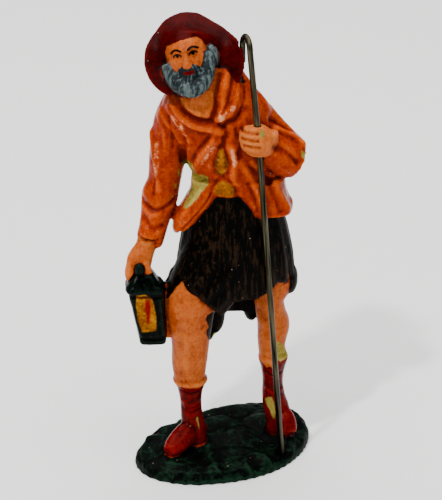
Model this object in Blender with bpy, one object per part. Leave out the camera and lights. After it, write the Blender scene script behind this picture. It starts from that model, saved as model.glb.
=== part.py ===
"""A painted crib figurine: a walking shepherd with a lantern in one hand and a wire crook in the other.

Metres, +Z up. The figure faces -Y. The origin is the middle of the flat underside of its ground.
The casting is one solid, fused from lofted forms. The crook is a bent wire, loose in fist and ground.
"""

import math

import bmesh
import bpy
import numpy as np
from mathutils import Matrix, Vector
from mathutils.bvhtree import BVHTree

# Driving dimensions, in metres
FIGURE_HEIGHT = 0.109  # from the ground's top to the top of the hat
GROUND_WIDTH = 0.0430
GROUND_DEPTH = 0.0345
GROUND_HEIGHT = 0.0040
WIRE_DIAMETER = 0.0014
WIRE_CLEARANCE = 0.0003  # all round the wire, in the fist and in the socket
SOCKET_DEPTH = 0.0024  # of the hole for the crook's foot, below the ground's top
HOOK_RADIUS = 0.0027
HOOK_TAIL = 0.0040

# The forms below are drawn on a master figure 109 units tall, whose ground is 4 units thick
MASTER_HEIGHT = 109.0
MASTER_GROUND = 4.0
UNIT = FIGURE_HEIGHT / MASTER_HEIGHT
VOXEL = 0.4 * UNIT  # grain of the fused casting
CASTING_TRIANGLES = 9200
WIRE_SIDES = 12
WELD = {"merge_threshold": 0.00001}  # joins a wire's caps to its sides
HEM_POWER = 4  # how closely a torn hem keeps to the end of its form
FOLD_STEPS = 4  # between the points of a fold

COAT_ORANGE = (0.55, 0.11, 0.015, 1.0)
WIRE_GREY = (0.20, 0.19, 0.16, 1.0)


def place(x, y, z):
    """A point of the master figure, at the real size, on the real ground."""
    return Vector((x * UNIT, y * UNIT, GROUND_HEIGHT + (z - MASTER_GROUND) * UNIT))


def smooth_run(rows, steps, closed=False):
    """Rows of numbers, with `steps` rows worked out along a Catmull-Rom curve between each pair."""
    rows = [np.array(row, float) for row in rows]
    count = len(rows)
    out = []
    for i in range(count if closed else count - 1):
        if closed:
            a, b, c, d = (rows[(i + k) % count] for k in (-1, 0, 1, 2))
        else:
            b, c = rows[i], rows[i + 1]
            a = rows[i - 1] if i else 2 * b - c
            d = rows[i + 2] if i + 2 < count else 2 * c - b
        for step in range(steps):
            t = step / steps
            out.append(
                0.5
                * (2 * b + (c - a) * t + (2 * a - 5 * b + 4 * c - d) * t**2 + (3 * b - a - 3 * c + d) * t**3)
            )
    if not closed:
        out.append(rows[-1])
    return out


def bridge(bm, rings):
    """Walls between rings of vertices, with both ends closed."""
    for low, high in zip(rings, rings[1:]):
        for k, corner in enumerate(low):
            after = (k + 1) % len(low)
            bm.faces.new((corner, low[after], high[after], high[k]))
    bm.faces.new(list(reversed(rings[0])))
    bm.faces.new(rings[-1])


def loft(
    bm, stations, level=False, side=(1, 0, 0), sides=28, steps=4, square=2.0, turn=0.0, pleats=None, hem=(0,)
):
    """A closed form through stations (x, y, z, half width, half depth).

    Rings lie flat where level is set, and otherwise square to the run. `side` is the way that the width runs.
    `square` is the section's power: 2 is an ellipse, more is nearer a rectangle. `turn` is in degrees.
    `pleats` is a number of folds round the form, and their share of its width where the form ends.
    `hem` is how far the end is raised, at even steps round it.
    """
    rows = smooth_run(stations, steps)
    rises = smooth_run([(rise,) for rise in hem], sides // len(hem), closed=True)
    points = [Vector(row[:3]) for row in rows]
    rings = []
    for i, (point, row) in enumerate(zip(points, rows)):
        ahead = points[min(i + 1, len(points) - 1)] - points[max(i - 1, 0)]
        along = Vector((0, 0, 1)) if level else ahead.normalized()
        across = (Vector(side) - along * along.dot(Vector(side))).normalized()
        deep = along.cross(across)
        if turn:
            spin = Matrix.Rotation(math.radians(turn), 3, along)
            across, deep = spin @ across, spin @ deep
        ring = []
        for k in range(sides):
            angle = 2 * math.pi * k / sides
            c, s = math.cos(angle), math.sin(angle)
            reach = (abs(c) ** square + abs(s) ** square) ** (-1 / square)
            ended = i / (len(rows) - 1)
            if pleats:
                reach *= 1 + pleats[1] * math.sin(pleats[0] * angle) * ended
            spot = point + across * (row[3] * reach * c) + deep * (row[4] * reach * s)
            spot.z += rises[k][0] * ended**HEM_POWER
            ring.append(bm.verts.new(place(*spot)))
        rings.append(ring)
    bridge(bm, rings)


def lump(bm, centre, radii, turns=(0, 0, 0)):
    """An ellipsoid, turned about X, Y and Z in degrees."""
    spin = Matrix.Identity(4)
    for axis, angle in zip("XYZ", turns):
        spin = Matrix.Rotation(math.radians(angle), 4, axis) @ spin
    made = bmesh.ops.create_icosphere(bm, subdivisions=3, radius=1.0)
    for vert in made["verts"]:
        local = Vector((vert.co.x * radii[0], vert.co.y * radii[1], vert.co.z * radii[2]))
        vert.co = place(*(Vector(centre) + spin @ local))


# The ground

# Reach of the outline every 22.5 degrees from the viewer's right, round the back
OUTLINE_SHARES = (0.94, 1.06, 1.18, 1.14, 0.94, 0.80, 0.77, 0.82,
                  0.92, 1.09, 1.18, 1.12, 1.00, 0.92, 0.88, 0.88)
# (height as a share of the ground's height, width as a share of the outline); the first is cut off flat
GROUND_RINGS = ((-0.3, 1.0), (0.0, 1.0), (0.45, 1.0), (0.8, 0.95),
                (1.0, 0.84), (1.03, 0.6), (1.05, 0.3), (1.05, 0.05))
ROCKS = (
    # centre, radii, turn about Z
    ((10.5, 7.5, 3.2), (7.0, 5.0, 2.2), 20),
    ((-2.5, 7.0, 3.0), (6.5, 3.2, 1.9), 15),
    ((4.0, 1.5, 3.2), (5.5, 2.0, 1.7), 25),
    ((3.0, -7.5, 3.1), (6.0, 2.6, 1.6), -8),
    ((14.5, -1.0, 2.8), (4.0, 5.0, 1.9), 10),
    ((-14.5, -2.0, 2.6), (3.6, 4.2, 1.9), -30),
    ((-15.6, -10.6, 1.9), (4.8, 3.6, 2.1), 30),
    ((-4.0, -12.5, 2.4), (5.0, 3.0, 1.8), -10),
    ((15.8, 9.5, 2.6), (3.6, 4.0, 1.9), -20),
)


def add_ground(bm):
    shares = smooth_run([(share,) for share in OUTLINE_SHARES], 3, closed=True)
    rings = []
    for height, width in GROUND_RINGS:
        ring = []
        for k, (share,) in enumerate(shares):
            angle = 2 * math.pi * k / len(shares)
            x = GROUND_WIDTH / 2 * share * width * math.cos(angle)
            y = GROUND_DEPTH / 2 * share * width * math.sin(angle)
            ring.append(bm.verts.new((x, y, height * GROUND_HEIGHT)))
        rings.append(ring)
    bridge(bm, rings)
    for centre, radii, turn in ROCKS:
        lump(bm, centre, radii, (0, 0, turn))


# Legs and boots, from the hip down. The figure's right leg steps forward, on the viewer's left.

STEPPING_LEG = (
    (-3.2, -2.0, 57.0, 5.6, 6.0),
    (-6.3, -5.0, 49.5, 5.8, 5.7),
    (-8.0, -6.6, 44.0, 6.0, 5.5),
    (-8.1, -6.8, 40.5, 5.8, 5.1),
    (-7.9, -6.2, 36.5, 5.0, 4.8),
    (-8.0, -5.2, 31.5, 4.5, 4.5),
    (-8.3, -4.4, 26.0, 4.2, 4.2),
    (-8.3, -4.0, 20.5, 3.5, 3.6),
)
STANDING_LEG = (
    (9.6, -0.5, 57.0, 5.2, 6.0),
    (11.6, -1.2, 47.0, 4.5, 5.0),
    (10.8, -1.3, 42.0, 3.6, 4.1),
    (11.2, -1.0, 38.0, 3.6, 4.0),
    (11.9, -0.2, 34.8, 3.9, 4.2),
    (11.7, 0.2, 32.0, 3.7, 4.2),
    (11.5, 0.6, 28.5, 3.3, 3.8),
    (11.9, 1.0, 25.0, 3.2, 3.6),
    (11.9, 1.5, 19.0, 2.3, 2.7),
)
STEPPING_BOOT = (
    (-8.2, -4.0, 22.4, 3.6, 3.7),
    (-8.1, -4.0, 21.6, 4.3, 4.3),
    (-8.1, -3.9, 20.6, 3.7, 3.7),
    (-8.1, -3.8, 18.6, 3.0, 3.2),
    (-8.0, -3.7, 15.5, 2.6, 2.9),
    (-7.9, -3.5, 12.5, 2.6, 3.0),
    (-7.5, -3.4, 9.0, 2.9, 3.4),
    (-7.1, -3.4, 6.5, 2.9, 3.5),
    (-7.0, -3.4, 4.4, 2.7, 3.3),
)
STEPPING_FOOT = (
    (-5.2, -1.4, 6.2, 1.7, 2.0),
    (-6.6, -2.9, 6.8, 2.5, 2.8),
    (-8.8, -5.6, 7.4, 2.7, 3.1),
    (-10.8, -8.0, 6.6, 2.9, 2.4),
    (-12.3, -10.0, 5.9, 2.5, 2.0),
    (-13.5, -11.4, 5.6, 1.5, 1.4),
)
STANDING_BOOT = (
    (11.9, 0.6, 26.2, 3.2, 3.6),
    (11.9, 0.8, 25.2, 3.7, 4.1),
    (11.9, 1.0, 22.5, 3.0, 3.3),
    (11.9, 1.5, 18.5, 2.5, 2.8),
    (12.1, 1.7, 14.5, 2.8, 2.9),
    (12.8, 1.6, 11.0, 3.2, 3.3),
    (13.4, 1.4, 7.5, 3.1, 3.4),
    (13.4, 1.4, 4.6, 2.9, 3.1),
)
STANDING_FOOT = (
    (11.6, 4.2, 6.4, 1.6, 2.0),
    (12.6, 2.6, 7.6, 2.5, 3.0),
    (14.4, 0.2, 8.4, 2.7, 3.0),
    (15.6, -2.0, 7.2, 2.4, 2.2),
    (16.3, -3.4, 6.0, 1.6, 1.5),
)
KNEECAP = ((-8.4, -9.9, 42.4), (3.2, 2.0, 3.6))


def add_legs(bm):
    loft(bm, STEPPING_LEG)
    loft(bm, STANDING_LEG)
    lump(bm, *KNEECAP)
    loft(bm, STEPPING_BOOT, level=True)
    loft(bm, STANDING_BOOT, level=True)
    loft(bm, STEPPING_FOOT, side=(0.8, -0.6, 0))
    loft(bm, STANDING_FOOT, side=(0.9, 0.4, 0))


# Breeches, wide and cut off ragged at the knee

BREECHES = (
    (3.0, -0.2, 72.0, 8.4, 6.4),
    (2.7, -0.3, 64.0, 11.3, 7.9),
    (2.7, -0.4, 58.0, 12.8, 8.8),
    (2.7, -0.5, 52.0, 13.7, 9.4),
    (2.6, -0.4, 47.5, 14.0, 9.6),
    (2.8, -0.2, 44.8, 14.2, 9.5),
)
# Rise of the hem every 15 degrees from the viewer's right, round the back; it is torn over the standing knee
BREECHES_HEM = (0.4, 0.0, -0.6, 0.5, -0.5, 0.6, -0.4, 0.5, -0.6, 0.4, -0.4, 0.3,
                0.2, 0.0, 0.0, 0.0, 0.0, 0.0, 0.2, 0.3, 1.2, 3.9, 3.2, 0.8)
BREECHES_LEAD = (
    # the cloth drawn over the stepping thigh
    (0.4, -1.2, 63.0, 7.2, 6.8),
    (-2.4, -2.4, 57.0, 6.6, 7.0),
    (-4.9, -4.0, 52.6, 6.3, 6.8),
    (-5.7, -4.6, 51.0, 6.0, 6.5),
)
BREECHES_BACK = (
    (2.4, 3.6, 49.0, 13.0, 5.8),
    (2.4, 4.0, 43.0, 11.6, 5.2),
    (2.4, 4.4, 39.0, 9.2, 4.0),
    (2.4, 4.6, 36.6, 7.4, 2.8),
)
RAGGED_ENDS = (
    # centre, radii: what hangs below the hem, or out at its sides
    ((-2.6, 1.6, 36.4), (2.9, 3.0, 5.6)),
    ((-3.6, 1.6, 32.4), (1.4, 1.6, 3.4)),
    ((6.6, 3.4, 37.6), (2.0, 2.6, 4.0)),
    ((15.7, 0.2, 46.6), (1.9, 4.2, 3.8)),
    ((-11.6, -3.2, 47.4), (1.7, 3.4, 3.4)),
    ((-12.7, -4.2, 46.6), (1.5, 2.4, 2.0)),
)
# Over the stepping thigh the cloth runs out along the leg, and its hem lies slantwise
BREECHES_THIGH = (
    (2.5, -0.8, 54.1, 7.0, 7.4),
    (-0.9, -2.0, 50.6, 7.5, 8.4),
    (-3.6, -3.0, 47.8, 7.6, 8.7),
    (-6.4, -4.0, 45.0, 7.5, 8.8),
)
THIGH_SLANT = (0.69, 0.0, -0.73)
BREECHES_PLEATS = (19, 0.035)
THIGH_PLEATS = (13, 0.03)


def add_breeches(bm):
    loft(bm, BREECHES, level=True, sides=96, pleats=BREECHES_PLEATS, hem=BREECHES_HEM)
    loft(bm, BREECHES_LEAD, level=True, sides=96, pleats=THIGH_PLEATS)
    loft(bm, BREECHES_BACK, level=True)
    loft(bm, BREECHES_THIGH, side=THIGH_SLANT, sides=96, square=2.7, pleats=THIGH_PLEATS)
    for centre, radii in RAGGED_ENDS:
        lump(bm, centre, radii)


# Coat: the body leans towards the viewer's left as it rises

COAT_BODY = (
    (3.2, 0.0, 70.6, 9.8, 7.6),
    (3.0, -0.2, 73.5, 10.0, 7.7),
    (1.9, -0.8, 78.0, 11.3, 8.0),
    (0.2, -1.3, 84.0, 12.2, 8.0),
    (-1.4, -1.9, 89.0, 12.7, 7.4),
    (-2.1, -2.4, 92.5, 11.8, 6.8),
    (-2.5, -2.8, 95.6, 9.8, 6.0),
    (-2.2, -2.8, 98.8, 7.2, 5.0),
    (-1.8, -2.6, 101.4, 4.8, 3.8),
)
COAT_SKIRT_BACK = (
    (3.2, 0.4, 76.0, 9.2, 6.4),
    (3.2, 1.6, 72.0, 10.0, 6.8),
    (3.0, 3.0, 65.0, 10.8, 7.2),
    (2.8, 3.6, 59.5, 11.0, 7.2),
    (2.8, 3.6, 57.5, 10.8, 7.0),
)
COAT_FRONT_LEFT = (
    (-3.4, -2.6, 74.0, 4.2, 4.8),
    (-4.6, -3.0, 71.0, 3.3, 4.8),
    (-6.4, -3.5, 68.0, 3.1, 4.4),
    (-8.3, -3.9, 65.4, 2.8, 4.0),
    (-9.6, -4.0, 63.0, 2.3, 3.5),
    (-10.3, -4.0, 61.6, 1.6, 2.9),
)
COAT_FRONT_RIGHT = (
    (7.4, -1.2, 74.0, 6.6, 6.8),
    (8.4, -1.2, 70.0, 6.2, 6.8),
    (9.9, -1.1, 67.0, 5.8, 6.6),
    (10.7, -1.0, 65.2, 5.4, 6.2),
)
SKIRT_PLEATS = (11, 0.04)
COAT_POINTS = (
    ((-11.0, -3.8, 61.8), (1.1, 2.2, 1.6)),
    ((14.0, -1.0, 66.4), (2.2, 3.2, 2.2)),
    ((7.2, -5.8, 66.2), (1.8, 1.4, 2.4)),
)


def add_coat(bm):
    loft(bm, COAT_BODY, level=True, sides=40)
    loft(bm, COAT_SKIRT_BACK, level=True, sides=72, pleats=SKIRT_PLEATS)
    loft(bm, COAT_FRONT_LEFT, level=True, square=2.8)
    loft(bm, COAT_FRONT_RIGHT, level=True, square=2.8)
    for centre, radii in COAT_POINTS:
        lump(bm, centre, radii)


# The arm that hangs and carries the lantern

LANTERN_SLEEVE = (
    (-9.6, -0.8, 92.0, 4.2, 5.0),
    (-11.6, -0.2, 86.5, 4.6, 5.2),
    (-13.0, 0.4, 78.5, 4.3, 4.8),
    (-13.9, 0.3, 72.0, 3.9, 4.4),
    (-15.0, -0.4, 68.0, 4.3, 4.6),
    (-15.9, -1.8, 64.0, 3.6, 4.0),
    (-16.7, -3.2, 60.6, 3.3, 3.7),
    (-17.3, -4.0, 58.6, 3.3, 3.5),
)
CUFF_POINT = ((-15.6, -4.8, 58.2), (1.4, 1.5, 1.5))
LANTERN_HAND = (
    (-17.5, -3.8, 60.0, 2.5, 2.4),
    (-18.3, -4.8, 57.0, 2.4, 2.3),
    (-19.7, -6.4, 54.4, 3.0, 2.3),
    (-20.0, -7.6, 52.0, 2.8, 2.0),
)
# Finger runs, with the ring between them: (x, y, z, half width, half depth)
LANTERN_FINGERS = (
    ((-21.5, -7.4, 53.6, 1.4, 1.5), (-21.9, -8.6, 51.6, 1.3, 1.3), (-21.2, -9.2, 50.2, 1.0, 1.0)),
    ((-18.5, -7.6, 54.0, 1.3, 1.4), (-17.9, -8.8, 52.0, 1.2, 1.3), (-17.8, -9.2, 50.6, 1.0, 1.0)),
)
LANTERN_BODY = (
    (-18.2, -9.0, 48.8, 4.1, 3.7),
    (-18.2, -9.0, 46.8, 4.05, 3.6),
    (-18.0, -9.0, 45.0, 3.9, 3.5),
    (-17.4, -9.0, 40.0, 3.5, 3.3),
    (-16.9, -9.0, 36.2, 3.25, 3.2),
    (-16.8, -9.0, 34.7, 3.1, 3.1),
)
LANTERN_ROOF = (
    (-18.5, -8.8, 49.8, 3.9, 3.6),
    (-18.6, -8.8, 48.8, 4.6, 4.1),
    (-18.4, -8.8, 47.8, 4.1, 3.7),
)
LANTERN_CAP = (
    (-18.8, -8.4, 52.2, 2.2, 2.2),
    (-18.9, -8.6, 51.0, 3.1, 3.0),
    (-18.9, -8.8, 49.2, 3.8, 3.8),
)
LANTERN_TURN = 4  # degrees
LANTERN_KNOB = ((-19.6, -9.8, 53.2), (1.2, 1.0, 1.9))
LANTERN_WEBS = (
    # centre, radii: where the casting joins the lantern to the breeches and to the leg
    ((-13.4, -6.4, 47.0), (2.0, 1.8, 1.5)),
    ((-13.3, -7.2, 41.2), (1.6, 1.6, 7.2)),
)


def add_lantern_arm(bm):
    loft(bm, LANTERN_SLEEVE)
    lump(bm, *CUFF_POINT)
    loft(bm, LANTERN_HAND)
    for run in LANTERN_FINGERS:
        loft(bm, run, sides=16)
    for run in (LANTERN_BODY, LANTERN_ROOF, LANTERN_CAP):
        loft(bm, run, level=True, square=6.0, turn=LANTERN_TURN)
    lump(bm, *LANTERN_KNOB)
    for centre, radii in LANTERN_WEBS:
        lump(bm, centre, radii)


# The arm that bends up and holds the crook

CROOK_UPPER_SLEEVE = (
    (3.4, -1.2, 92.4, 3.9, 4.6),
    (6.2, -0.8, 89.0, 4.5, 4.9),
    (9.5, -0.8, 84.7, 4.7, 4.9),
    (12.8, -1.2, 81.0, 4.8, 4.8),
    (15.7, -1.8, 78.6, 4.7, 4.3),
)
CROOK_FOREARM = (
    (16.1, -2.1, 77.8, 4.5, 4.1),
    (13.6, -3.6, 79.5, 4.6, 4.5),
    (11.4, -5.6, 81.6, 4.0, 4.1),
    (9.4, -7.4, 83.4, 3.1, 3.3),
)
FIST = (
    (10.0, -6.6, 84.2, 2.5, 2.8),
    (8.7, -8.6, 84.9, 3.6, 3.3),
    (7.0, -9.3, 85.7, 3.9, 3.1),
    (5.4, -9.0, 86.3, 3.3, 2.5),
    (4.6, -8.2, 86.7, 2.2, 1.8),
)


def add_crook_arm(bm):
    loft(bm, CROOK_UPPER_SLEEVE, side=(0, 0, 1))
    loft(bm, CROOK_FOREARM, side=(0, 0, 1))
    loft(bm, FIST, side=(0, 0, 1))


# Neck, head, beard and hat

NECK = (
    (-3.8, -3.8, 88.0, 4.8, 4.2),
    (-4.6, -4.3, 92.0, 4.6, 4.5),
    (-5.4, -4.6, 97.0, 4.4, 4.5),
    (-6.0, -4.6, 101.0, 4.2, 4.2),
)
HEAD_CENTRE = (-8.2, -4.6, 103.9)
HEAD_RADII = (4.7, 5.6, 6.3)
HEAD_SHARE = 0.92  # of the size that the forms below are drawn at
HEAD_ROLL = -13.0  # degrees, towards the viewer's left
HEAD_PITCH = -14.0  # degrees, looking up
HEAD_TURNS = (HEAD_PITCH, HEAD_ROLL, 0)
# In the head's own frame: right, forward and up
BEARD_RUN = (
    (-4.9, 2.2, -0.6, 1.3, 1.6),
    (-4.5, 3.2, -3.4, 1.8, 1.9),
    (-2.9, 4.2, -6.0, 2.2, 2.2),
    (0.0, 4.5, -7.4, 2.6, 2.4),
    (2.9, 4.2, -6.0, 2.2, 2.2),
    (4.5, 3.2, -3.4, 1.8, 1.9),
    (4.9, 2.2, 0.4, 1.3, 1.6),
)
CHIN = ((0.0, 4.4, -5.2), (3.2, 1.8, 2.4))
MOUSTACHE = ((-2.3, 4.7, -3.4, 0.7, 0.7), (-1.1, 5.7, -2.7, 0.9, 0.9), (0.0, 6.1, -2.5, 0.8, 0.8),
             (1.1, 5.7, -2.7, 0.9, 0.9), (2.3, 4.7, -3.4, 0.7, 0.7))
NOSE = ((0.0, 5.5, 1.6, 0.5, 0.6), (0.0, 6.1, 0.2, 0.7, 0.8), (0.0, 6.6, -1.4, 1.0, 0.9),
        (0.0, 6.0, -2.0, 0.8, 0.6))
BROW = ((-3.0, 4.5, 1.7, 0.5, 0.5), (-1.4, 5.5, 2.0, 0.6, 0.6), (0.0, 5.6, 1.7, 0.5, 0.5),
        (1.4, 5.5, 2.0, 0.6, 0.6), (3.0, 4.5, 1.7, 0.5, 0.5))
SIDE_LOCKS = (
    # centre, radii
    ((-5.9, 0.6, -4.6), (1.6, 1.9, 3.4)),
    ((6.0, 0.8, -1.0), (1.4, 1.8, 2.6)),
)


def head_frame():
    """The head's right, forward and up directions."""
    roll = Matrix.Rotation(math.radians(HEAD_ROLL), 3, "Y")
    pitch = Matrix.Rotation(math.radians(HEAD_PITCH), 3, "X")
    turned = roll @ pitch
    return turned @ Vector((1, 0, 0)), turned @ Vector((0, -1, 0)), turned @ Vector((0, 0, 1))


def on_head(right, forward, up):
    across, ahead, above = head_frame()
    return Vector(HEAD_CENTRE) + (across * right + ahead * forward + above * up) * HEAD_SHARE


def head_run(rows):
    return [(*on_head(*row[:3]), row[3] * HEAD_SHARE, row[4] * HEAD_SHARE) for row in rows]


def add_head(bm):
    loft(bm, NECK, level=True)
    lump(bm, HEAD_CENTRE, HEAD_RADII, HEAD_TURNS)
    loft(bm, head_run(BEARD_RUN), side=(0, -1, 0), sides=20)
    for centre, radii in (CHIN, *SIDE_LOCKS):
        lump(bm, on_head(*centre), radii, HEAD_TURNS)
    loft(bm, head_run(MOUSTACHE), side=(0, -1, 0), sides=14)
    loft(bm, head_run(NOSE), side=(1, 0, 0), sides=14)
    loft(bm, head_run(BROW), side=(0, -1, 0), sides=14)


HAT_CENTRE = (-6.8, -3.0, 104.0)
HAT_LEAN = 38.0  # degrees that the brim's face looks up
BRIM_THICKNESS = 1.15
HOLE_SHIFT = -1.3  # of the hole, towards the viewer's left
HOOD = 5.6  # how far the brim comes forward over the forehead
HOOD_AT_SIDES = 0.3  # share of it that is left beside the face
HOOD_FLARE = 1.5  # power of its slope: 1 is straight, and more is hollow
# Hole and reach of the brim from its centre and its forward curl, every 30 degrees from the viewer's right,
# anticlockwise
BRIM_HOLE = (4.8, 4.6, 3.6, 2.9, 3.6, 4.6, 4.8, 4.8, 4.8, 4.8, 4.8, 4.8)
BRIM_REACH = (11.0, 9.2, 8.8, 10.2, 10.5, 10.0, 11.1, 11.9, 11.6, 9.6, 9.8, 12.2)
BRIM_CURL = (3.4, 1.8, 0.4, 0.0, 0.2, 0.8, 1.4, 1.2, 0.2, -1.5, -3.0, -0.6)
CROWN = (
    # behind the brim, half width, half height
    (-0.4, 6.6, 6.0),
    (2.4, 7.0, 6.4),
    (5.0, 6.6, 6.1),
    (7.0, 5.4, 5.0),
    (8.2, 3.2, 3.0),
)


def hat_frame():
    lean = math.radians(HAT_LEAN)
    out = Vector((0, -math.cos(lean), math.sin(lean)))
    up = Vector((0, math.sin(lean), math.cos(lean)))
    return out, up


def add_hat(bm):
    out, up = hat_frame()
    reach = smooth_run([(share,) for share in BRIM_REACH], 4, closed=True)
    curl = smooth_run([(share,) for share in BRIM_CURL], 4, closed=True)
    hole = smooth_run([(share,) for share in BRIM_HOLE], 4, closed=True)
    rings = []
    # (share of the way from the hole to the rim, side of the brim), out along its front and back behind it
    walk = [(share, 0.5) for share in (0.0, 0.3, 0.6, 0.85, 0.97)] + [(1.0, 0.0)]
    walk += [(share, -0.5) for share in (0.97, 0.85, 0.6, 0.3, 0.0)]
    for share, face in walk:
        ring = []
        for k, (far,) in enumerate(reach):
            angle = 2 * math.pi * k / len(reach)
            away = hole[k][0] + (far - hole[k][0]) * share
            aside = away * math.cos(angle) + HOLE_SHIFT * (1 - share)
            over = HOOD_AT_SIDES + (1 - HOOD_AT_SIDES) * math.sin(angle)
            hood = HOOD * max(0.0, over) * (1 - share) ** HOOD_FLARE
            spot = Vector(HAT_CENTRE) + Vector((1, 0, 0)) * aside + up * (away * math.sin(angle))
            spot += out * (curl[k][0] * share**2 + hood + face * BRIM_THICKNESS)
            ring.append(bm.verts.new(place(*spot)))
        rings.append(ring)
    bridge(bm, rings)
    middle = Vector(HAT_CENTRE) + Vector((HOLE_SHIFT / 2, 0, 0))
    loft(bm, [(*(middle - out * behind), wide, high) for behind, wide, high in CROWN])


# Folds and edges carved in the skin

FRONT, BACK = -1, 1
FOLDS = (
    # side that it is seen from, half width, height (below zero: a groove), points (x, z)
    (FRONT, 0.9, -0.7, ((-11.2, 96.0), (-9.4, 92.3), (-6.9, 90.2), (-3.4, 89.7), (-0.4, 89.1))),
    (FRONT, 0.9, 0.6, ((-11.6, 94.4), (-9.8, 90.9), (-7.0, 88.8), (-3.4, 88.2), (-0.6, 87.4))),
    (FRONT, 0.8, -0.6, ((-0.9, 100.6), (-2.0, 96.0), (-1.9, 93.6), (-2.9, 90.4))),
    (FRONT, 1.0, 0.7, ((0.6, 100.2), (-0.3, 96.0), (-0.3, 93.4), (-1.2, 90.8))),
    (FRONT, 0.8, -0.6, ((-0.4, 89.1), (0.4, 87.0), (-0.1, 85.1), (-0.9, 83.6))),
    (FRONT, 0.8, -0.5, ((-0.6, 83.6), (-2.1, 80.0), (-2.0, 77.4), (-0.6, 76.2), (0.9, 77.4), (1.0, 80.0),
                        (-0.6, 83.6))),
    (FRONT, 0.8, -0.5, ((-2.9, 70.6), (-2.6, 73.0), (-1.2, 75.0), (0.6, 75.2), (2.2, 73.4), (3.0, 70.6))),
    (FRONT, 1.0, 0.7, ((-2.6, 85.1), (-5.2, 81.0), (-6.6, 77.6))),
    (FRONT, 0.9, 0.6, ((1.6, 83.2), (2.4, 80.8), (1.9, 77.6), (2.4, 74.2))),
    (FRONT, 1.0, 0.6, ((-14.2, 90.1), (-11.1, 85.9), (-9.8, 83.6))),
    (FRONT, 1.0, 0.6, ((-12.4, 92.0), (-9.6, 87.4), (-8.2, 84.8))),
    (FRONT, 1.0, -0.8, ((-8.9, 86.4), (-9.4, 82.0), (-9.3, 77.6))),
    (FRONT, 1.0, 0.7, ((-2.0, 89.9), (0.4, 91.4), (1.9, 93.0))),
    (FRONT, 0.9, -0.6, ((0.6, 89.8), (2.6, 90.4), (4.6, 92.6))),
    (FRONT, 1.1, 0.8, ((11.2, 86.9), (15.0, 84.6), (18.0, 82.2))),
    (FRONT, 0.9, -0.7, ((10.8, 88.6), (13.4, 86.6), (16.2, 84.6))),
    (FRONT, 1.0, -0.6, ((11.4, 84.2), (14.4, 81.6), (16.8, 79.0))),
    (FRONT, 1.0, -0.7, ((3.4, 82.0), (5.8, 78.4), (8.8, 75.8))),
    (FRONT, 1.0, 0.6, ((4.2, 80.0), (6.4, 75.0), (8.8, 69.6))),
    (FRONT, 1.0, -0.6, ((9.6, 75.8), (11.4, 71.4), (13.0, 66.8))),
    (FRONT, 1.0, 0.6, ((11.4, 75.2), (12.8, 71.2), (14.8, 67.2))),
    (FRONT, 0.9, -0.7, ((-19.2, 67.8), (-16.2, 66.4), (-13.4, 66.8), (-11.2, 68.2))),
    (FRONT, 1.0, 0.6, ((-16.6, 84.0), (-15.8, 77.0), (-15.2, 71.4))),
    (FRONT, 0.9, -0.5, ((-18.6, 64.4), (-16.6, 62.4), (-14.2, 62.6))),
    (BACK, 1.1, -0.7, ((-8.6, 88.0), (-8.0, 82.0), (-7.4, 76.0))),
    (BACK, 1.1, -0.7, ((8.6, 90.0), (7.6, 83.0), (9.0, 76.0))),
    (BACK, 1.2, 0.7, ((-3.4, 92.0), (-1.0, 84.0), (2.0, 76.0))),
    (BACK, 1.2, 0.6, ((2.6, 90.0), (3.4, 83.0), (4.2, 75.0))),
    (BACK, 1.0, -0.9, ((-6.6, 72.4), (-1.0, 71.4), (5.0, 71.4), (12.6, 72.6))),
)
# Where the grooves between the fist's fingers start (x, z)
FINGER_LINES = ((3.9, 88.2), (3.9, 86.6), (4.4, 85.0))
FINGER_LINE = (0.5, -0.45, 3.6)  # their half width, height and length


def all_folds():
    half, height, length = FINGER_LINE
    fingers = [(FRONT, half, height, ((x, z), (x + length, z - 0.2))) for x, z in FINGER_LINES]
    return (*FOLDS, *fingers)


def carve(obj):
    """Raises or sinks the skin along every fold. Its points are dropped on to it from the front or back."""
    mesh = obj.data
    spots = np.empty(len(mesh.vertices) * 3)
    mesh.vertices.foreach_get("co", spots)
    spots = spots.reshape(-1, 3)
    normals = np.empty(len(mesh.vertices) * 3)
    mesh.vertices.foreach_get("normal", normals)
    normals = normals.reshape(-1, 3)
    faces = [face.vertices for face in mesh.polygons]
    skin = BVHTree.FromPolygons([vert.co for vert in mesh.vertices], faces)
    lift = np.zeros(len(spots))
    for view, half, height, points in all_folds():
        run = []
        for x, z in smooth_run(points, FOLD_STEPS):
            start = place(x, view * MASTER_HEIGHT, z)
            hit = skin.ray_cast(start, Vector((0, -view, 0)))[0]
            if hit is not None:
                run.append(np.array(hit))
        nearest = np.full(len(spots), np.inf)
        for a, b in zip(run, run[1:]):
            span = b - a
            share = np.clip((spots - a) @ span / (span @ span), 0, 1)
            gap = np.linalg.norm(spots - a - share[:, None] * span, axis=1)
            nearest = np.minimum(nearest, gap)
        lift += height * UNIT * np.exp(-((nearest / (half * UNIT)) ** 2))
    spots += normals * lift[:, None]
    mesh.vertices.foreach_set("co", spots.ravel())
    mesh.update()


# The crook: a wire from the socket in the ground, through the fist, to a hook that turns back behind the brim

CROOK_FOOT = (14.1, -7.6)
CROOK_CORNER = (7.9, -9.5, 84.6)  # the slight bend inside the fist
CROOK_TOP = (5.75, -9.9, 106.7)  # where the hook starts
CORNER_SPAN = 5.0  # how far the bend is spread either way
HOOK_AWAY = (-0.30, 0.95, 0.0)  # the way that the hook turns
HOOK_STEPS = 12


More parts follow.
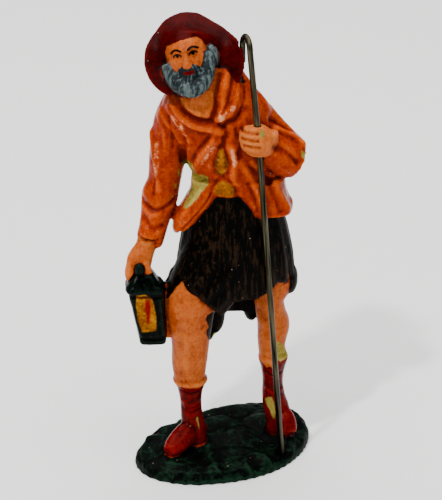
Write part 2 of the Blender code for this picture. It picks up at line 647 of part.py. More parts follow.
def crook_points(extra=0.0):
    """The wire's centre line. `extra` lengthens its foot."""
    foot = place(*CROOK_FOOT, MASTER_GROUND) - Vector((0, 0, SOCKET_DEPTH - WIRE_CLEARANCE + extra))
    corner, top = place(*CROOK_CORNER), place(*CROOK_TOP)
    low = corner + (foot - corner).normalized() * CORNER_SPAN * UNIT
    high = corner + (top - corner).normalized() * CORNER_SPAN * UNIT
    points = [foot, (foot + low) / 2]
    for step in range(HOOK_STEPS // 2 + 1):
        share = 2 * step / HOOK_STEPS
        points.append(low.lerp(corner, share).lerp(corner.lerp(high, share), share))
    points.append((high + top) / 2)
    away = Vector(HOOK_AWAY).normalized() * HOOK_RADIUS
    rise = Vector((0, 0, HOOK_RADIUS))
    for step in range(HOOK_STEPS + 1):
        angle = math.pi * step / HOOK_STEPS
        points.append(top + away * (1 - math.cos(angle)) + rise * math.sin(angle))
    points.append(points[-1] - Vector((0, 0, HOOK_TAIL)))
    return points


def add_wire(name, radius, extra=0.0):
    """A round wire along the crook's centre line, as a mesh."""
    curve = bpy.data.curves.new(name, "CURVE")
    curve.dimensions = "3D"
    curve.bevel_depth = radius
    curve.bevel_resolution = WIRE_SIDES // 4
    curve.use_fill_caps = True
    points = crook_points(extra)
    line = curve.splines.new("POLY")
    line.points.add(len(points) - 1)
    for spot, point in zip(line.points, points):
        spot.co = (*point, 1)
    made = bpy.data.objects.new(name, curve)
    bpy.context.scene.collection.objects.link(made)
    return made


def as_mesh(obj):
    """The object with its modifiers and curve made one plain mesh."""
    graph = bpy.context.evaluated_depsgraph_get()
    mesh = bpy.data.meshes.new_from_object(obj.evaluated_get(graph))
    name = obj.name
    bpy.data.objects.remove(obj)
    mesh.name = name
    made = bpy.data.objects.new(name, mesh)
    bpy.context.scene.collection.objects.link(made)
    return made


def modified(obj, kind, **settings):
    """The object after one modifier."""
    modifier = obj.modifiers.new(kind.title(), kind)
    for key, value in settings.items():
        setattr(modifier, key, value)
    return as_mesh(obj)


def material(name, colour, roughness, metallic=0.0):
    made = bpy.data.materials.new(name)
    made.use_nodes = True
    shader = made.node_tree.nodes["Principled BSDF"]
    shader.inputs["Base Color"].default_value = colour
    shader.inputs["Roughness"].default_value = roughness
    shader.inputs["Metallic"].default_value = metallic
    return made


def cutter_from(obj):
    obj.hide_render = True
    obj.display_type = "WIRE"
    return obj


def keep_largest(obj):
    """Removes the specks that fusing leaves inside the skin."""
    bm = bmesh.new()
    bm.from_mesh(obj.data)
    loose, islands = set(bm.verts), []
    while loose:
        island, edge = set(), [loose.pop()]
        while edge:
            vert = edge.pop()
            island.add(vert)
            near = {link.other_vert(vert) for link in vert.link_edges} & loose
            loose -= near
            edge.extend(near)
        islands.append(island)
    largest = max(islands, key=len)
    bmesh.ops.delete(bm, geom=[vert for vert in bm.verts if vert not in largest], context="VERTS")
    bm.to_mesh(obj.data)
    bm.free()


def make_casting():
    """Every cast form, fused into one skin, carved and thinned."""
    bm = bmesh.new()
    forms = (add_ground, add_legs, add_breeches, add_coat, add_lantern_arm, add_crook_arm, add_head, add_hat)
    for add in forms:
        add(bm)
    bmesh.ops.recalc_face_normals(bm, faces=bm.faces)
    mesh = bpy.data.meshes.new("shepherd")
    bm.to_mesh(mesh)
    bm.free()
    casting = bpy.data.objects.new("shepherd", mesh)
    bpy.context.scene.collection.objects.link(casting)
    casting = modified(casting, "REMESH", mode="VOXEL", voxel_size=VOXEL)
    casting = modified(casting, "SMOOTH", factor=0.5, iterations=2)
    carve(casting)
    ratio = CASTING_TRIANGLES / (2 * len(casting.data.polygons))
    casting = modified(casting, "DECIMATE", ratio=ratio)
    casting = modified(casting, "TRIANGULATE")
    keep_largest(casting)
    return casting


def make_floor_cutter():
    """A slab below the table top, which cuts the ground's underside flat."""
    bm = bmesh.new()
    bmesh.ops.create_cube(bm, size=1.0)
    drop = GROUND_HEIGHT
    bmesh.ops.scale(bm, verts=bm.verts, vec=(2 * GROUND_WIDTH, 2 * GROUND_DEPTH, drop))
    bmesh.ops.translate(bm, verts=bm.verts, vec=(0, 0, -drop / 2))
    mesh = bpy.data.meshes.new("floor_cutter")
    bm.to_mesh(mesh)
    bm.free()
    made = bpy.data.objects.new("floor_cutter", mesh)
    bpy.context.scene.collection.objects.link(made)
    return cutter_from(made)


def cut(obj, cutter):
    modifier = obj.modifiers.new("Cut " + cutter.name, "BOOLEAN")
    modifier.operation = "DIFFERENCE"
    modifier.object = cutter


def main():
    for obj in list(bpy.data.objects):
        bpy.data.objects.remove(obj)
    casting = make_casting()
    casting.data.materials.append(material("painted casting", COAT_ORANGE, 0.4))
    cut(casting, make_floor_cutter())
    way = modified(add_wire("wire_way", WIRE_DIAMETER / 2 + WIRE_CLEARANCE, WIRE_CLEARANCE), "WELD", **WELD)
    cut(casting, cutter_from(way))
    crook = modified(add_wire("crook", WIRE_DIAMETER / 2), "WELD", **WELD)
    crook.data.materials.append(material("steel wire", WIRE_GREY, 0.35, 0.9))
    for obj in (casting, crook):
        obj.data.shade_smooth()


main()
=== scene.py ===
"""Looks of a painted crib figurine: a walking shepherd with a lantern and a wire crook, on a pale studio floor.

The casting is built again from the same forms as its solid, on a finer grain, and then carved and painted
after tables: folds and grooves are runs of points, and each paint's border is worked out
from the forms it covers. Tables are in millimetres: x to the viewer's right, y away from the viewer, z up.
"""

import math

import bmesh
import bpy
import numpy as np
from mathutils import Matrix, Vector, noise
from mathutils.bvhtree import BVHTree


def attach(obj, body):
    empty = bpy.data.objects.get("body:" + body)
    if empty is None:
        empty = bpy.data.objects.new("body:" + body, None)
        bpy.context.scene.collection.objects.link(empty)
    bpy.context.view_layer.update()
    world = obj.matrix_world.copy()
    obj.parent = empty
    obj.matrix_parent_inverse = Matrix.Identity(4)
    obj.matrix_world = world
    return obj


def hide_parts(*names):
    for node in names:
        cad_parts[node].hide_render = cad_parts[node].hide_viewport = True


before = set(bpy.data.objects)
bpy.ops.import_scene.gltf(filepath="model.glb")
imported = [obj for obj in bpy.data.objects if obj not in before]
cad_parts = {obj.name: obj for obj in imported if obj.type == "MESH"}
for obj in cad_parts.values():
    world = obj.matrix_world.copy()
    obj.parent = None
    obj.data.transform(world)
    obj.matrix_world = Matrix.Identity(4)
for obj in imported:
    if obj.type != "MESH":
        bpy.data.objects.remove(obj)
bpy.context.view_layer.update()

bl_info = {
    "name": "Crib shepherd figurine",
    "version": (1, 0, 0),
    "blender": (4, 5, 0),
    "location": "View3D > Sidebar > Shepherd",
    "description": "Builds a painted crib shepherd with a lantern and a wire crook",
    "category": "Object",
}


def linear(code):
    """An sRGB hex colour as the linear colour that a shader takes."""
    parts = [int(code[i : i + 2], 16) / 255 for i in (1, 3, 5)]
    return (*(c / 12.92 if c <= 0.04045 else ((c + 0.055) / 1.055) ** 2.4 for c in parts), 1.0)


MM = 0.001
LOFT_STEPS = 4  # between the stations of a form
HEM_POWER = 4  # how closely a torn hem keeps to the end of its form
FOLD_STEPS = 4  # between the points of a fold


# Shaping tools


def place(x, y, z):
    return Vector((x, y, z)) * MM


def smooth_run(rows, steps, closed=False):
    """Rows of numbers, with `steps` rows worked out along a Catmull-Rom curve between each pair."""
    rows = [np.array(row, float) for row in rows]
    count = len(rows)
    out = []
    for i in range(count if closed else count - 1):
        if closed:
            a, b, c, d = (rows[(i + k) % count] for k in (-1, 0, 1, 2))
        else:
            b, c = rows[i], rows[i + 1]
            a = rows[i - 1] if i else 2 * b - c
            d = rows[i + 2] if i + 2 < count else 2 * c - b
        for step in range(steps):
            t = step / steps
            curved = (2 * a - 5 * b + 4 * c - d) * t**2 + (3 * b - a - 3 * c + d) * t**3
            out.append(0.5 * (2 * b + (c - a) * t + curved))
    if not closed:
        out.append(rows[-1])
    return out


def round_run(values, steps):
    """Numbers round a closed form, with finer steps worked out between them."""
    return [row[0] for row in smooth_run([(value,) for value in values], steps, closed=True)]


def bridge(bm, rings):
    """Walls between rings of vertices, with both ends closed."""
    for low, high in zip(rings, rings[1:]):
        for k, corner in enumerate(low):
            after = (k + 1) % len(low)
            bm.faces.new((corner, low[after], high[after], high[k]))
    bm.faces.new(list(reversed(rings[0])))
    bm.faces.new(rings[-1])


def loft(
    bm, stations, level=False, side=(1, 0, 0), sides=28, steps=LOFT_STEPS, square=2, turn=0, pleats=None, hem=(0,)
):
    """A closed form through stations (x, y, z, half width, half depth).

    Rings lie flat where level is set, and otherwise square to the run. `side` is the way that the width runs.
    `square` is the section's power: 2 is an ellipse, more is nearer a rectangle. `turn` is in degrees.
    `pleats` is a number of folds round the form, and their share of its width where the form ends.
    `hem` is how far the end is raised, at even steps round it.
    """
    rows = smooth_run(stations, steps)
    rises = round_run(hem, sides // len(hem))
    points = [Vector(row[:3]) for row in rows]
    rings = []
    for i, (point, row) in enumerate(zip(points, rows)):
        ahead = points[min(i + 1, len(points) - 1)] - points[max(i - 1, 0)]
        along = Vector((0, 0, 1)) if level else ahead.normalized()
        across = (Vector(side) - along * along.dot(Vector(side))).normalized()
        deep = along.cross(across)
        if turn:
            spin = Matrix.Rotation(math.radians(turn), 3, along)
            across, deep = spin @ across, spin @ deep
        ring = []
        for k in range(sides):
            angle = 2 * math.pi * k / sides
            c, s = math.cos(angle), math.sin(angle)
            reach = (abs(c) ** square + abs(s) ** square) ** (-1 / square)
            ended = i / (len(rows) - 1)
            if pleats:
                reach *= 1 + pleats[1] * math.sin(pleats[0] * angle) * ended
            spot = point + across * (row[3] * reach * c) + deep * (row[4] * reach * s)
            spot.z += rises[k] * ended**HEM_POWER
            ring.append(bm.verts.new(place(*spot)))
        rings.append(ring)
    bridge(bm, rings)


def lump(bm, centre, radii, turns=(0, 0, 0)):
    """An ellipsoid, turned about X, Y and Z in degrees."""
    spin = Matrix.Identity(4)
    for axis, angle in zip("XYZ", turns):
        spin = Matrix.Rotation(math.radians(angle), 4, axis) @ spin
    made = bmesh.ops.create_icosphere(bm, subdivisions=3, radius=1.0)
    for vert in made["verts"]:
        local = Vector((vert.co.x * radii[0], vert.co.y * radii[1], vert.co.z * radii[2]))
        vert.co = place(*(Vector(centre) + spin @ local))


# The ground

GROUND_WIDTH = 43.0
GROUND_DEPTH = 34.5
GROUND_HEIGHT = 4.0
OUTLINE_SHARES = (
    0.94, 1.06, 1.18, 1.14, 0.94, 0.8, 0.77, 0.82, 0.92, 1.09, 1.18, 1.12, 1, 0.92, 0.88, 0.88,
)
GROUND_RINGS = (
    (-0.3, 1), (0, 1), (0.45, 1), (0.8, 0.95), (1, 0.84), (1.03, 0.6), (1.05, 0.3), (1.05, 0.05),
)
ROCKS = (
    # centre, radii, turn about Z
    ((10.5, 7.5, 3.2), (7, 5, 2.2), 20), ((-2.5, 7, 3), (6.5, 3.2, 1.9), 15),
    ((4, 1.5, 3.2), (5.5, 2, 1.7), 25), ((3, -7.5, 3.1), (6, 2.6, 1.6), -8),
    ((14.5, -1, 2.8), (4, 5, 1.9), 10), ((-14.5, -2, 2.6), (3.6, 4.2, 1.9), -30),
    ((-15.6, -10.6, 1.9), (4.8, 3.6, 2.1), 30), ((-4, -12.5, 2.4), (5, 3, 1.8), -10),
    ((15.8, 9.5, 2.6), (3.6, 4, 1.9), -20),
)


def add_ground(bm):
    shares = round_run(OUTLINE_SHARES, 3)
    rings = []
    for height, width in GROUND_RINGS:
        ring = []
        for k, share in enumerate(shares):
            angle = 2 * math.pi * k / len(shares)
            x = GROUND_WIDTH / 2 * share * width * math.cos(angle)
            y = GROUND_DEPTH / 2 * share * width * math.sin(angle)
            ring.append(bm.verts.new(place(x, y, height * GROUND_HEIGHT)))
        rings.append(ring)
    bridge(bm, rings)
    for centre, radii, turn in ROCKS:
        lump(bm, centre, radii, (0, 0, turn))


# Legs and boots, from the hip down. The leg on the viewer's left steps forward.

STEPPING_LEG = (
    (-3.2, -2, 57, 5.6, 6), (-6.3, -5, 49.5, 5.8, 5.7), (-8, -6.6, 44, 6, 5.5), (-8.1, -6.8, 40.5, 5.8, 5.1),
    (-7.9, -6.2, 36.5, 5, 4.8), (-8, -5.2, 31.5, 4.5, 4.5), (-8.3, -4.4, 26, 4.2, 4.2),
    (-8.3, -4, 20.5, 3.5, 3.6),
)
STANDING_LEG = (
    (9.6, -0.5, 57, 5.2, 6), (11.6, -1.2, 47, 4.5, 5), (10.8, -1.3, 42, 3.6, 4.1), (11.2, -1, 38, 3.6, 4),
    (11.9, -0.2, 34.8, 3.9, 4.2), (11.7, 0.2, 32, 3.7, 4.2), (11.5, 0.6, 28.5, 3.3, 3.8),
    (11.9, 1, 25, 3.2, 3.6), (11.9, 1.5, 19, 2.3, 2.7),
)
STEPPING_BOOT = (
    (-8.2, -4, 22.4, 3.6, 3.7), (-8.1, -4, 21.6, 4.3, 4.3), (-8.1, -3.9, 20.6, 3.7, 3.7),
    (-8.1, -3.8, 18.6, 3, 3.2), (-8, -3.7, 15.5, 2.6, 2.9), (-7.9, -3.5, 12.5, 2.6, 3),
    (-7.5, -3.4, 9, 2.9, 3.4), (-7.1, -3.4, 6.5, 2.9, 3.5), (-7, -3.4, 4.4, 2.7, 3.3),
)
STEPPING_FOOT = (
    (-5.2, -1.4, 6.2, 1.7, 2), (-6.6, -2.9, 6.8, 2.5, 2.8), (-8.8, -5.6, 7.4, 2.7, 3.1),
    (-10.8, -8, 6.6, 2.9, 2.4), (-12.3, -10, 5.9, 2.5, 2), (-13.5, -11.4, 5.6, 1.5, 1.4),
)
STANDING_BOOT = (
    (11.9, 0.6, 26.2, 3.2, 3.6), (11.9, 0.8, 25.2, 3.7, 4.1), (11.9, 1, 22.5, 3, 3.3),
    (11.9, 1.5, 18.5, 2.5, 2.8), (12.1, 1.7, 14.5, 2.8, 2.9), (12.8, 1.6, 11, 3.2, 3.3),
    (13.4, 1.4, 7.5, 3.1, 3.4), (13.4, 1.4, 4.6, 2.9, 3.1),
)
STANDING_FOOT = (
    (11.6, 4.2, 6.4, 1.6, 2), (12.6, 2.6, 7.6, 2.5, 3), (14.4, 0.2, 8.4, 2.7, 3), (15.6, -2, 7.2, 2.4, 2.2),
    (16.3, -3.4, 6, 1.6, 1.5),
)
KNEECAP = ((-8.4, -9.9, 42.4), (3.2, 2.0, 3.6))


def between(stations, top, bottom):
    """The part of a form's run between two heights, at the fine steps that a loft takes."""
    return [row for row in smooth_run(stations, LOFT_STEPS) if bottom <= row[2] <= top]


LEGS = (
    # stations, the boot's top, and the height under which the leg is bare
    (STEPPING_LEG, 21.5, 51.0),
    (STANDING_LEG, 24.5, 50.0),
)
LEG_OVERLAP = 1.5  # of a leg's lengths under two paints


def add_boots(bm):
    for leg, boot, _ in LEGS:
        loft(bm, between(leg, boot + LEG_OVERLAP, 0.0), steps=1)
    loft(bm, STEPPING_BOOT, level=True)
    loft(bm, STANDING_BOOT, level=True)
    loft(bm, STEPPING_FOOT, side=(0.8, -0.6, 0))
    loft(bm, STANDING_FOOT, side=(0.9, 0.4, 0))


# Breeches, wide and cut off ragged at the knee

BREECHES = (
    (3, -0.2, 72, 8.4, 6.4), (2.7, -0.3, 64, 11.3, 7.9), (2.7, -0.4, 58, 12.8, 8.8),
    (2.7, -0.5, 52, 13.7, 9.4), (2.6, -0.4, 47.5, 14, 9.6), (2.8, -0.2, 44.8, 14.2, 9.5),
)
# Rise of the hem every 15 degrees from the viewer's right, round the back; it is torn over the standing knee
BREECHES_HEM = (
    0.4, 0, -0.6, 0.5, -0.5, 0.6, -0.4, 0.5, -0.6, 0.4, -0.4, 0.3, 0.2, 0, 0, 0, 0, 0, 0.2, 0.3, 1.2, 3.9,
    3.2, 0.8,
)
BREECHES_LEAD = (
    # the cloth drawn over the stepping thigh
    (0.4, -1.2, 63, 7.2, 6.8), (-2.4, -2.4, 57, 6.6, 7), (-4.9, -4, 52.6, 6.3, 6.8), (-5.7, -4.6, 51, 6, 6.5),
)
BREECHES_BACK = (
    (2.4, 3.6, 49, 13, 5.8), (2.4, 4, 43, 11.6, 5.2), (2.4, 4.4, 39, 9.2, 4), (2.4, 4.6, 36.6, 7.4, 2.8),
)
RAGGED_ENDS = (
    # centre, radii: what hangs below the hem, or out at its sides
    ((-2.6, 1.6, 36.4), (2.9, 3, 5.6)), ((-3.6, 1.6, 32.4), (1.4, 1.6, 3.4)), ((6.6, 3.4, 37.6), (2, 2.6, 4)),
    ((15.7, 0.2, 46.6), (1.9, 4.2, 3.8)), ((-11.6, -3.2, 47.4), (1.7, 3.4, 3.4)),
    ((-12.7, -4.2, 46.6), (1.5, 2.4, 2)),
)
# Over the stepping thigh the cloth runs out along the leg, and its hem lies slantwise
BREECHES_THIGH = (
    (2.5, -0.8, 54.1, 7, 7.4), (-0.9, -2, 50.6, 7.5, 8.4), (-3.6, -3, 47.8, 7.6, 8.7),
    (-6.4, -4, 45, 7.5, 8.8),
)
THIGH_SLANT = (0.69, 0.0, -0.73)
BREECHES_PLEATS = (19, 0.035)
THIGH_PLEATS = (13, 0.03)


def add_breeches(bm):
    loft(bm, BREECHES, level=True, sides=96, pleats=BREECHES_PLEATS, hem=BREECHES_HEM)
    loft(bm, BREECHES_LEAD, level=True, sides=96, pleats=THIGH_PLEATS)
    loft(bm, BREECHES_BACK, level=True)
    loft(bm, BREECHES_THIGH, side=THIGH_SLANT, sides=96, square=2.7, pleats=THIGH_PLEATS)
    for centre, radii in RAGGED_ENDS:
        lump(bm, centre, radii)


def add_hips(bm):
    """The covered tops of the legs, which take the breeches' paint where they press through the cloth."""
    for leg, _, hem in LEGS:
        loft(bm, between(leg, leg[0][2], hem - LEG_OVERLAP), steps=1)


# Coat: the body leans towards the viewer's left as it rises

COAT_BODY = (
    (3.2, 0, 70.6, 9.8, 7.6), (3, -0.2, 73.5, 10, 7.7), (1.9, -0.8, 78, 11.3, 8), (0.2, -1.3, 84, 12.2, 8),
    (-1.4, -1.9, 89, 12.7, 7.4), (-2.1, -2.4, 92.5, 11.8, 6.8), (-2.5, -2.8, 95.6, 9.8, 6),
    (-2.2, -2.8, 98.8, 7.2, 5), (-1.8, -2.6, 101.4, 4.8, 3.8),
)
COAT_SKIRT_BACK = (
    (3.2, 0.4, 76, 9.2, 6.4), (3.2, 1.6, 72, 10, 6.8), (3, 3, 65, 10.8, 7.2), (2.8, 3.6, 59.5, 11, 7.2),
    (2.8, 3.6, 57.5, 10.8, 7),
)
COAT_FRONT_LEFT = (
    (-3.4, -2.6, 74, 4.2, 4.8), (-4.6, -3, 71, 3.3, 4.8), (-6.4, -3.5, 68, 3.1, 4.4),
    (-8.3, -3.9, 65.4, 2.8, 4), (-9.6, -4, 63, 2.3, 3.5), (-10.3, -4, 61.6, 1.6, 2.9),
)
COAT_FRONT_RIGHT = (
    (7.4, -1.2, 74, 6.6, 6.8), (8.4, -1.2, 70, 6.2, 6.8), (9.9, -1.1, 67, 5.8, 6.6),
    (10.7, -1, 65.2, 5.4, 6.2),
)
SKIRT_PLEATS = (11, 0.04)
COAT_POINTS = (
    ((-11, -3.8, 61.8), (1.1, 2.2, 1.6)), ((14, -1, 66.4), (2.2, 3.2, 2.2)),
    ((7.2, -5.8, 66.2), (1.8, 1.4, 2.4)),
)
LANTERN_SLEEVE = (
    (-9.6, -0.8, 92, 4.2, 5), (-11.6, -0.2, 86.5, 4.6, 5.2), (-13, 0.4, 78.5, 4.3, 4.8),
    (-13.9, 0.3, 72, 3.9, 4.4), (-15, -0.4, 68, 4.3, 4.6), (-15.9, -1.8, 64, 3.6, 4),
    (-16.7, -3.2, 60.6, 3.3, 3.7), (-17.3, -4, 58.6, 3.3, 3.5),
)
CUFF_POINT = ((-15.6, -4.8, 58.2), (1.4, 1.5, 1.5))
CROOK_UPPER_SLEEVE = (
    (3.4, -1.2, 92.4, 3.9, 4.6), (6.2, -0.8, 89, 4.5, 4.9), (9.5, -0.8, 84.7, 4.7, 4.9),
    (12.8, -1.2, 81, 4.8, 4.8), (15.7, -1.8, 78.6, 4.7, 4.3),
)
CROOK_FOREARM = (
    (16.1, -2.1, 77.8, 4.5, 4.1), (13.6, -3.6, 79.5, 4.6, 4.5), (11.4, -5.6, 81.6, 4, 4.1),
    (9.4, -7.4, 83.4, 3.1, 3.3),
)


def add_coat(bm):
    loft(bm, COAT_BODY, level=True, sides=40)
    loft(bm, COAT_SKIRT_BACK, level=True, sides=72, pleats=SKIRT_PLEATS)
    loft(bm, COAT_FRONT_LEFT, level=True, square=2.8)
    loft(bm, COAT_FRONT_RIGHT, level=True, square=2.8)
    for centre, radii in (*COAT_POINTS, CUFF_POINT):
        lump(bm, centre, radii)
    loft(bm, LANTERN_SLEEVE)
    loft(bm, CROOK_UPPER_SLEEVE, side=(0, 0, 1))
    loft(bm, CROOK_FOREARM, side=(0, 0, 1))


# Lantern

LANTERN_BODY = (
    (-18.2, -9, 48.8, 4.1, 3.7), (-18.2, -9, 46.8, 4.05, 3.6), (-18, -9, 45, 3.9, 3.5),
    (-17.4, -9, 40, 3.5, 3.3), (-16.9, -9, 36.2, 3.25, 3.2), (-16.8, -9, 34.7, 3.1, 3.1),
)
LANTERN_ROOF = (
    (-18.5, -8.8, 49.8, 3.9, 3.6), (-18.6, -8.8, 48.8, 4.6, 4.1), (-18.4, -8.8, 47.8, 4.1, 3.7),
)
LANTERN_CAP = (
    (-18.8, -8.4, 52.2, 2.2, 2.2), (-18.9, -8.6, 51, 3.1, 3), (-18.9, -8.8, 49.2, 3.8, 3.8),
)
LANTERN_TURN = 4  # degrees
LANTERN_KNOB = ((-19.6, -9.8, 53.2), (1.2, 1.0, 1.9))
LANTERN_WEBS = (
    # centre, radii: where the casting joins the lantern to the breeches and to the leg
    ((-13.4, -6.4, 47), (2, 1.8, 1.5)), ((-13.3, -7.2, 41.2), (1.6, 1.6, 7.2)),
)


def add_lantern(bm):
    for run in (LANTERN_BODY, LANTERN_ROOF, LANTERN_CAP):
        loft(bm, run, level=True, square=6.0, turn=LANTERN_TURN)
    lump(bm, *LANTERN_KNOB)
    lump(bm, *LANTERN_WEBS[0])


# Bare skin: head, neck, hands and legs

LANTERN_HAND = (
    (-17.5, -3.8, 60, 2.5, 2.4), (-18.3, -4.8, 57, 2.4, 2.3), (-19.7, -6.4, 54.4, 3, 2.3),
    (-20, -7.6, 52, 2.8, 2),
)
LANTERN_FINGERS = (
    ((-21.5, -7.4, 53.6, 1.4, 1.5), (-21.9, -8.6, 51.6, 1.3, 1.3), (-21.2, -9.2, 50.2, 1, 1)),
    ((-18.5, -7.6, 54, 1.3, 1.4), (-17.9, -8.8, 52, 1.2, 1.3), (-17.8, -9.2, 50.6, 1, 1)),
)
FIST = (
    (10, -6.6, 84.2, 2.5, 2.8), (8.7, -8.6, 84.9, 3.6, 3.3), (7, -9.3, 85.7, 3.9, 3.1),
    (5.4, -9, 86.3, 3.3, 2.5), (4.6, -8.2, 86.7, 2.2, 1.8),
)
NECK = (
    (-3.8, -3.8, 88, 4.8, 4.2), (-4.6, -4.3, 92, 4.6, 4.5), (-5.4, -4.6, 97, 4.4, 4.5),
    (-6, -4.6, 101, 4.2, 4.2),
)
HEAD_CENTRE = (-8.2, -4.6, 103.9)
HEAD_RADII = (4.7, 5.6, 6.3)
HEAD_SHARE = 0.92  # of the size that the forms below are drawn at
HEAD_ROLL = -13.0  # degrees, towards the viewer's left
HEAD_PITCH = -14.0  # degrees, looking up
HEAD_TURNS = (HEAD_PITCH, HEAD_ROLL, 0)
# In the head's own frame: right, forward and up
NOSE = (
    (0, 5.5, 1.6, 0.5, 0.6), (0, 6.1, 0.2, 0.7, 0.8), (0, 6.6, -1.4, 1, 0.9), (0, 6, -2, 0.8, 0.6),
)
BROW = (
    (-3, 4.5, 1.7, 0.5, 0.5), (-1.4, 5.5, 2, 0.6, 0.6), (0, 5.6, 1.7, 0.5, 0.5), (1.4, 5.5, 2, 0.6, 0.6),
    (3, 4.5, 1.7, 0.5, 0.5),
)
BEARD_RUN = (
    (-4.9, 2.2, -0.6, 1.3, 1.6), (-4.5, 3.2, -3.4, 1.8, 1.9), (-2.9, 4.2, -6, 2.2, 2.2),
    (0, 4.5, -7.4, 2.6, 2.4), (2.9, 4.2, -6, 2.2, 2.2), (4.5, 3.2, -3.4, 1.8, 1.9), (4.9, 2.2, 0.4, 1.3, 1.6),
)
CHIN = ((0.0, 4.4, -5.2), (3.2, 1.8, 2.4))
MOUSTACHE = (
    (-2.3, 4.7, -3.4, 0.7, 0.7), (-1.1, 5.7, -2.7, 0.9, 0.9), (0, 6.1, -2.5, 0.8, 0.8),
    (1.1, 5.7, -2.7, 0.9, 0.9), (2.3, 4.7, -3.4, 0.7, 0.7),
)
SIDE_LOCKS = (
    # centre, radii
    ((-5.9, 0.6, -4.6), (1.6, 1.9, 3.4)), ((6, 0.8, -1), (1.4, 1.8, 2.6)),
)


def head_frame():
    """The head's right, forward and up directions."""
    roll = Matrix.Rotation(math.radians(HEAD_ROLL), 3, "Y")
    pitch = Matrix.Rotation(math.radians(HEAD_PITCH), 3, "X")
    return [roll @ pitch @ Vector(way) for way in ((1, 0, 0), (0, -1, 0), (0, 0, 1))]


def on_head(right, forward, up):
    across, ahead, above = head_frame()
    return Vector(HEAD_CENTRE) + (across * right + ahead * forward + above * up) * HEAD_SHARE


def head_run(rows):
    return [(*on_head(*row[:3]), row[3] * HEAD_SHARE, row[4] * HEAD_SHARE) for row in rows]


def add_skin(bm):
    for leg, boot, hem in LEGS:
        loft(bm, between(leg, hem, boot), steps=1)
    lump(bm, *LANTERN_WEBS[1])
    lump(bm, *KNEECAP)
    loft(bm, LANTERN_HAND)
    for run in LANTERN_FINGERS:
        loft(bm, run, sides=16)
    loft(bm, FIST, side=(0, 0, 1))
    loft(bm, NECK, level=True)
    lump(bm, HEAD_CENTRE, HEAD_RADII, HEAD_TURNS)
    loft(bm, head_run(NOSE), side=(1, 0, 0), sides=14)
    loft(bm, head_run(BROW), side=(0, -1, 0), sides=14)


def add_beard(bm):
    loft(bm, head_run(BEARD_RUN), side=(0, -1, 0), sides=20)
    for centre, radii in (CHIN, *SIDE_LOCKS):
        lump(bm, on_head(*centre), radii, HEAD_TURNS)
    loft(bm, head_run(MOUSTACHE), side=(0, -1, 0), sides=14)


# Hat

HAT_CENTRE = (-6.8, -3.0, 104.0)
HAT_LEAN = 38.0  # degrees that the brim's face looks up
BRIM_THICKNESS = 1.15
BRIM_WALK = (0.0, 0.3, 0.6, 0.85, 0.97)  # shares of the way from the hole to the rim
HOLE_SHIFT = -1.3  # of the hole, towards the viewer's left
HOOD = 5.6  # how far the brim comes forward over the forehead
HOOD_AT_SIDES = 0.3  # share of it that is left beside the face
HOOD_FLARE = 1.5  # power of its slope: 1 is straight, and more is hollow
# Hole and reach of the brim from its centre and its forward curl, every 30 degrees from the viewer's right,
# anticlockwise
BRIM_HOLE = (4.8, 4.6, 3.6, 2.9, 3.6, 4.6, 4.8, 4.8, 4.8, 4.8, 4.8, 4.8)
BRIM_REACH = (11.0, 9.2, 8.8, 10.2, 10.5, 10.0, 11.1, 11.9, 11.6, 9.6, 9.8, 12.2)
BRIM_CURL = (3.4, 1.8, 0.4, 0.0, 0.2, 0.8, 1.4, 1.2, 0.2, -1.5, -3.0, -0.6)
CROWN = (
    # behind the brim, half width, half height
    (-0.4, 6.6, 6), (2.4, 7, 6.4), (5, 6.6, 6.1), (7, 5.4, 5), (8.2, 3.2, 3),
)


def hat_frame():
    lean = math.radians(HAT_LEAN)
    out = Vector((0, -math.cos(lean), math.sin(lean)))
    up = Vector((0, math.sin(lean), math.cos(lean)))
    return out, up


def add_hat(bm):
    out, up = hat_frame()
    reach, curl, hole = (round_run(values, LOFT_STEPS) for values in (BRIM_REACH, BRIM_CURL, BRIM_HOLE))
    rings = []
    # out along the brim's front, round its rim and back behind it
    walk = [(share, 0.5) for share in BRIM_WALK] + [(1.0, 0.0)] + [(share, -0.5) for share in BRIM_WALK[::-1]]
    for share, face in walk:
        ring = []
        for k, far in enumerate(reach):
            angle = 2 * math.pi * k / len(reach)
            away = hole[k] + (far - hole[k]) * share
            aside = away * math.cos(angle) + HOLE_SHIFT * (1 - share)
            over = HOOD_AT_SIDES + (1 - HOOD_AT_SIDES) * math.sin(angle)
            hood = HOOD * max(0.0, over) * (1 - share) ** HOOD_FLARE
            spot = Vector(HAT_CENTRE) + Vector((1, 0, 0)) * aside + up * (away * math.sin(angle))
            spot += out * (curl[k] * share**2 + hood + face * BRIM_THICKNESS)
            ring.append(bm.verts.new(place(*spot)))
        rings.append(ring)
    bridge(bm, rings)
    middle = Vector(HAT_CENTRE) + Vector((HOLE_SHIFT / 2, 0, 0))
    loft(bm, [(*(middle - out * behind), wide, high) for behind, wide, high in CROWN])


# Folds and edges carved in the skin, those of BACK_FOLDS from behind

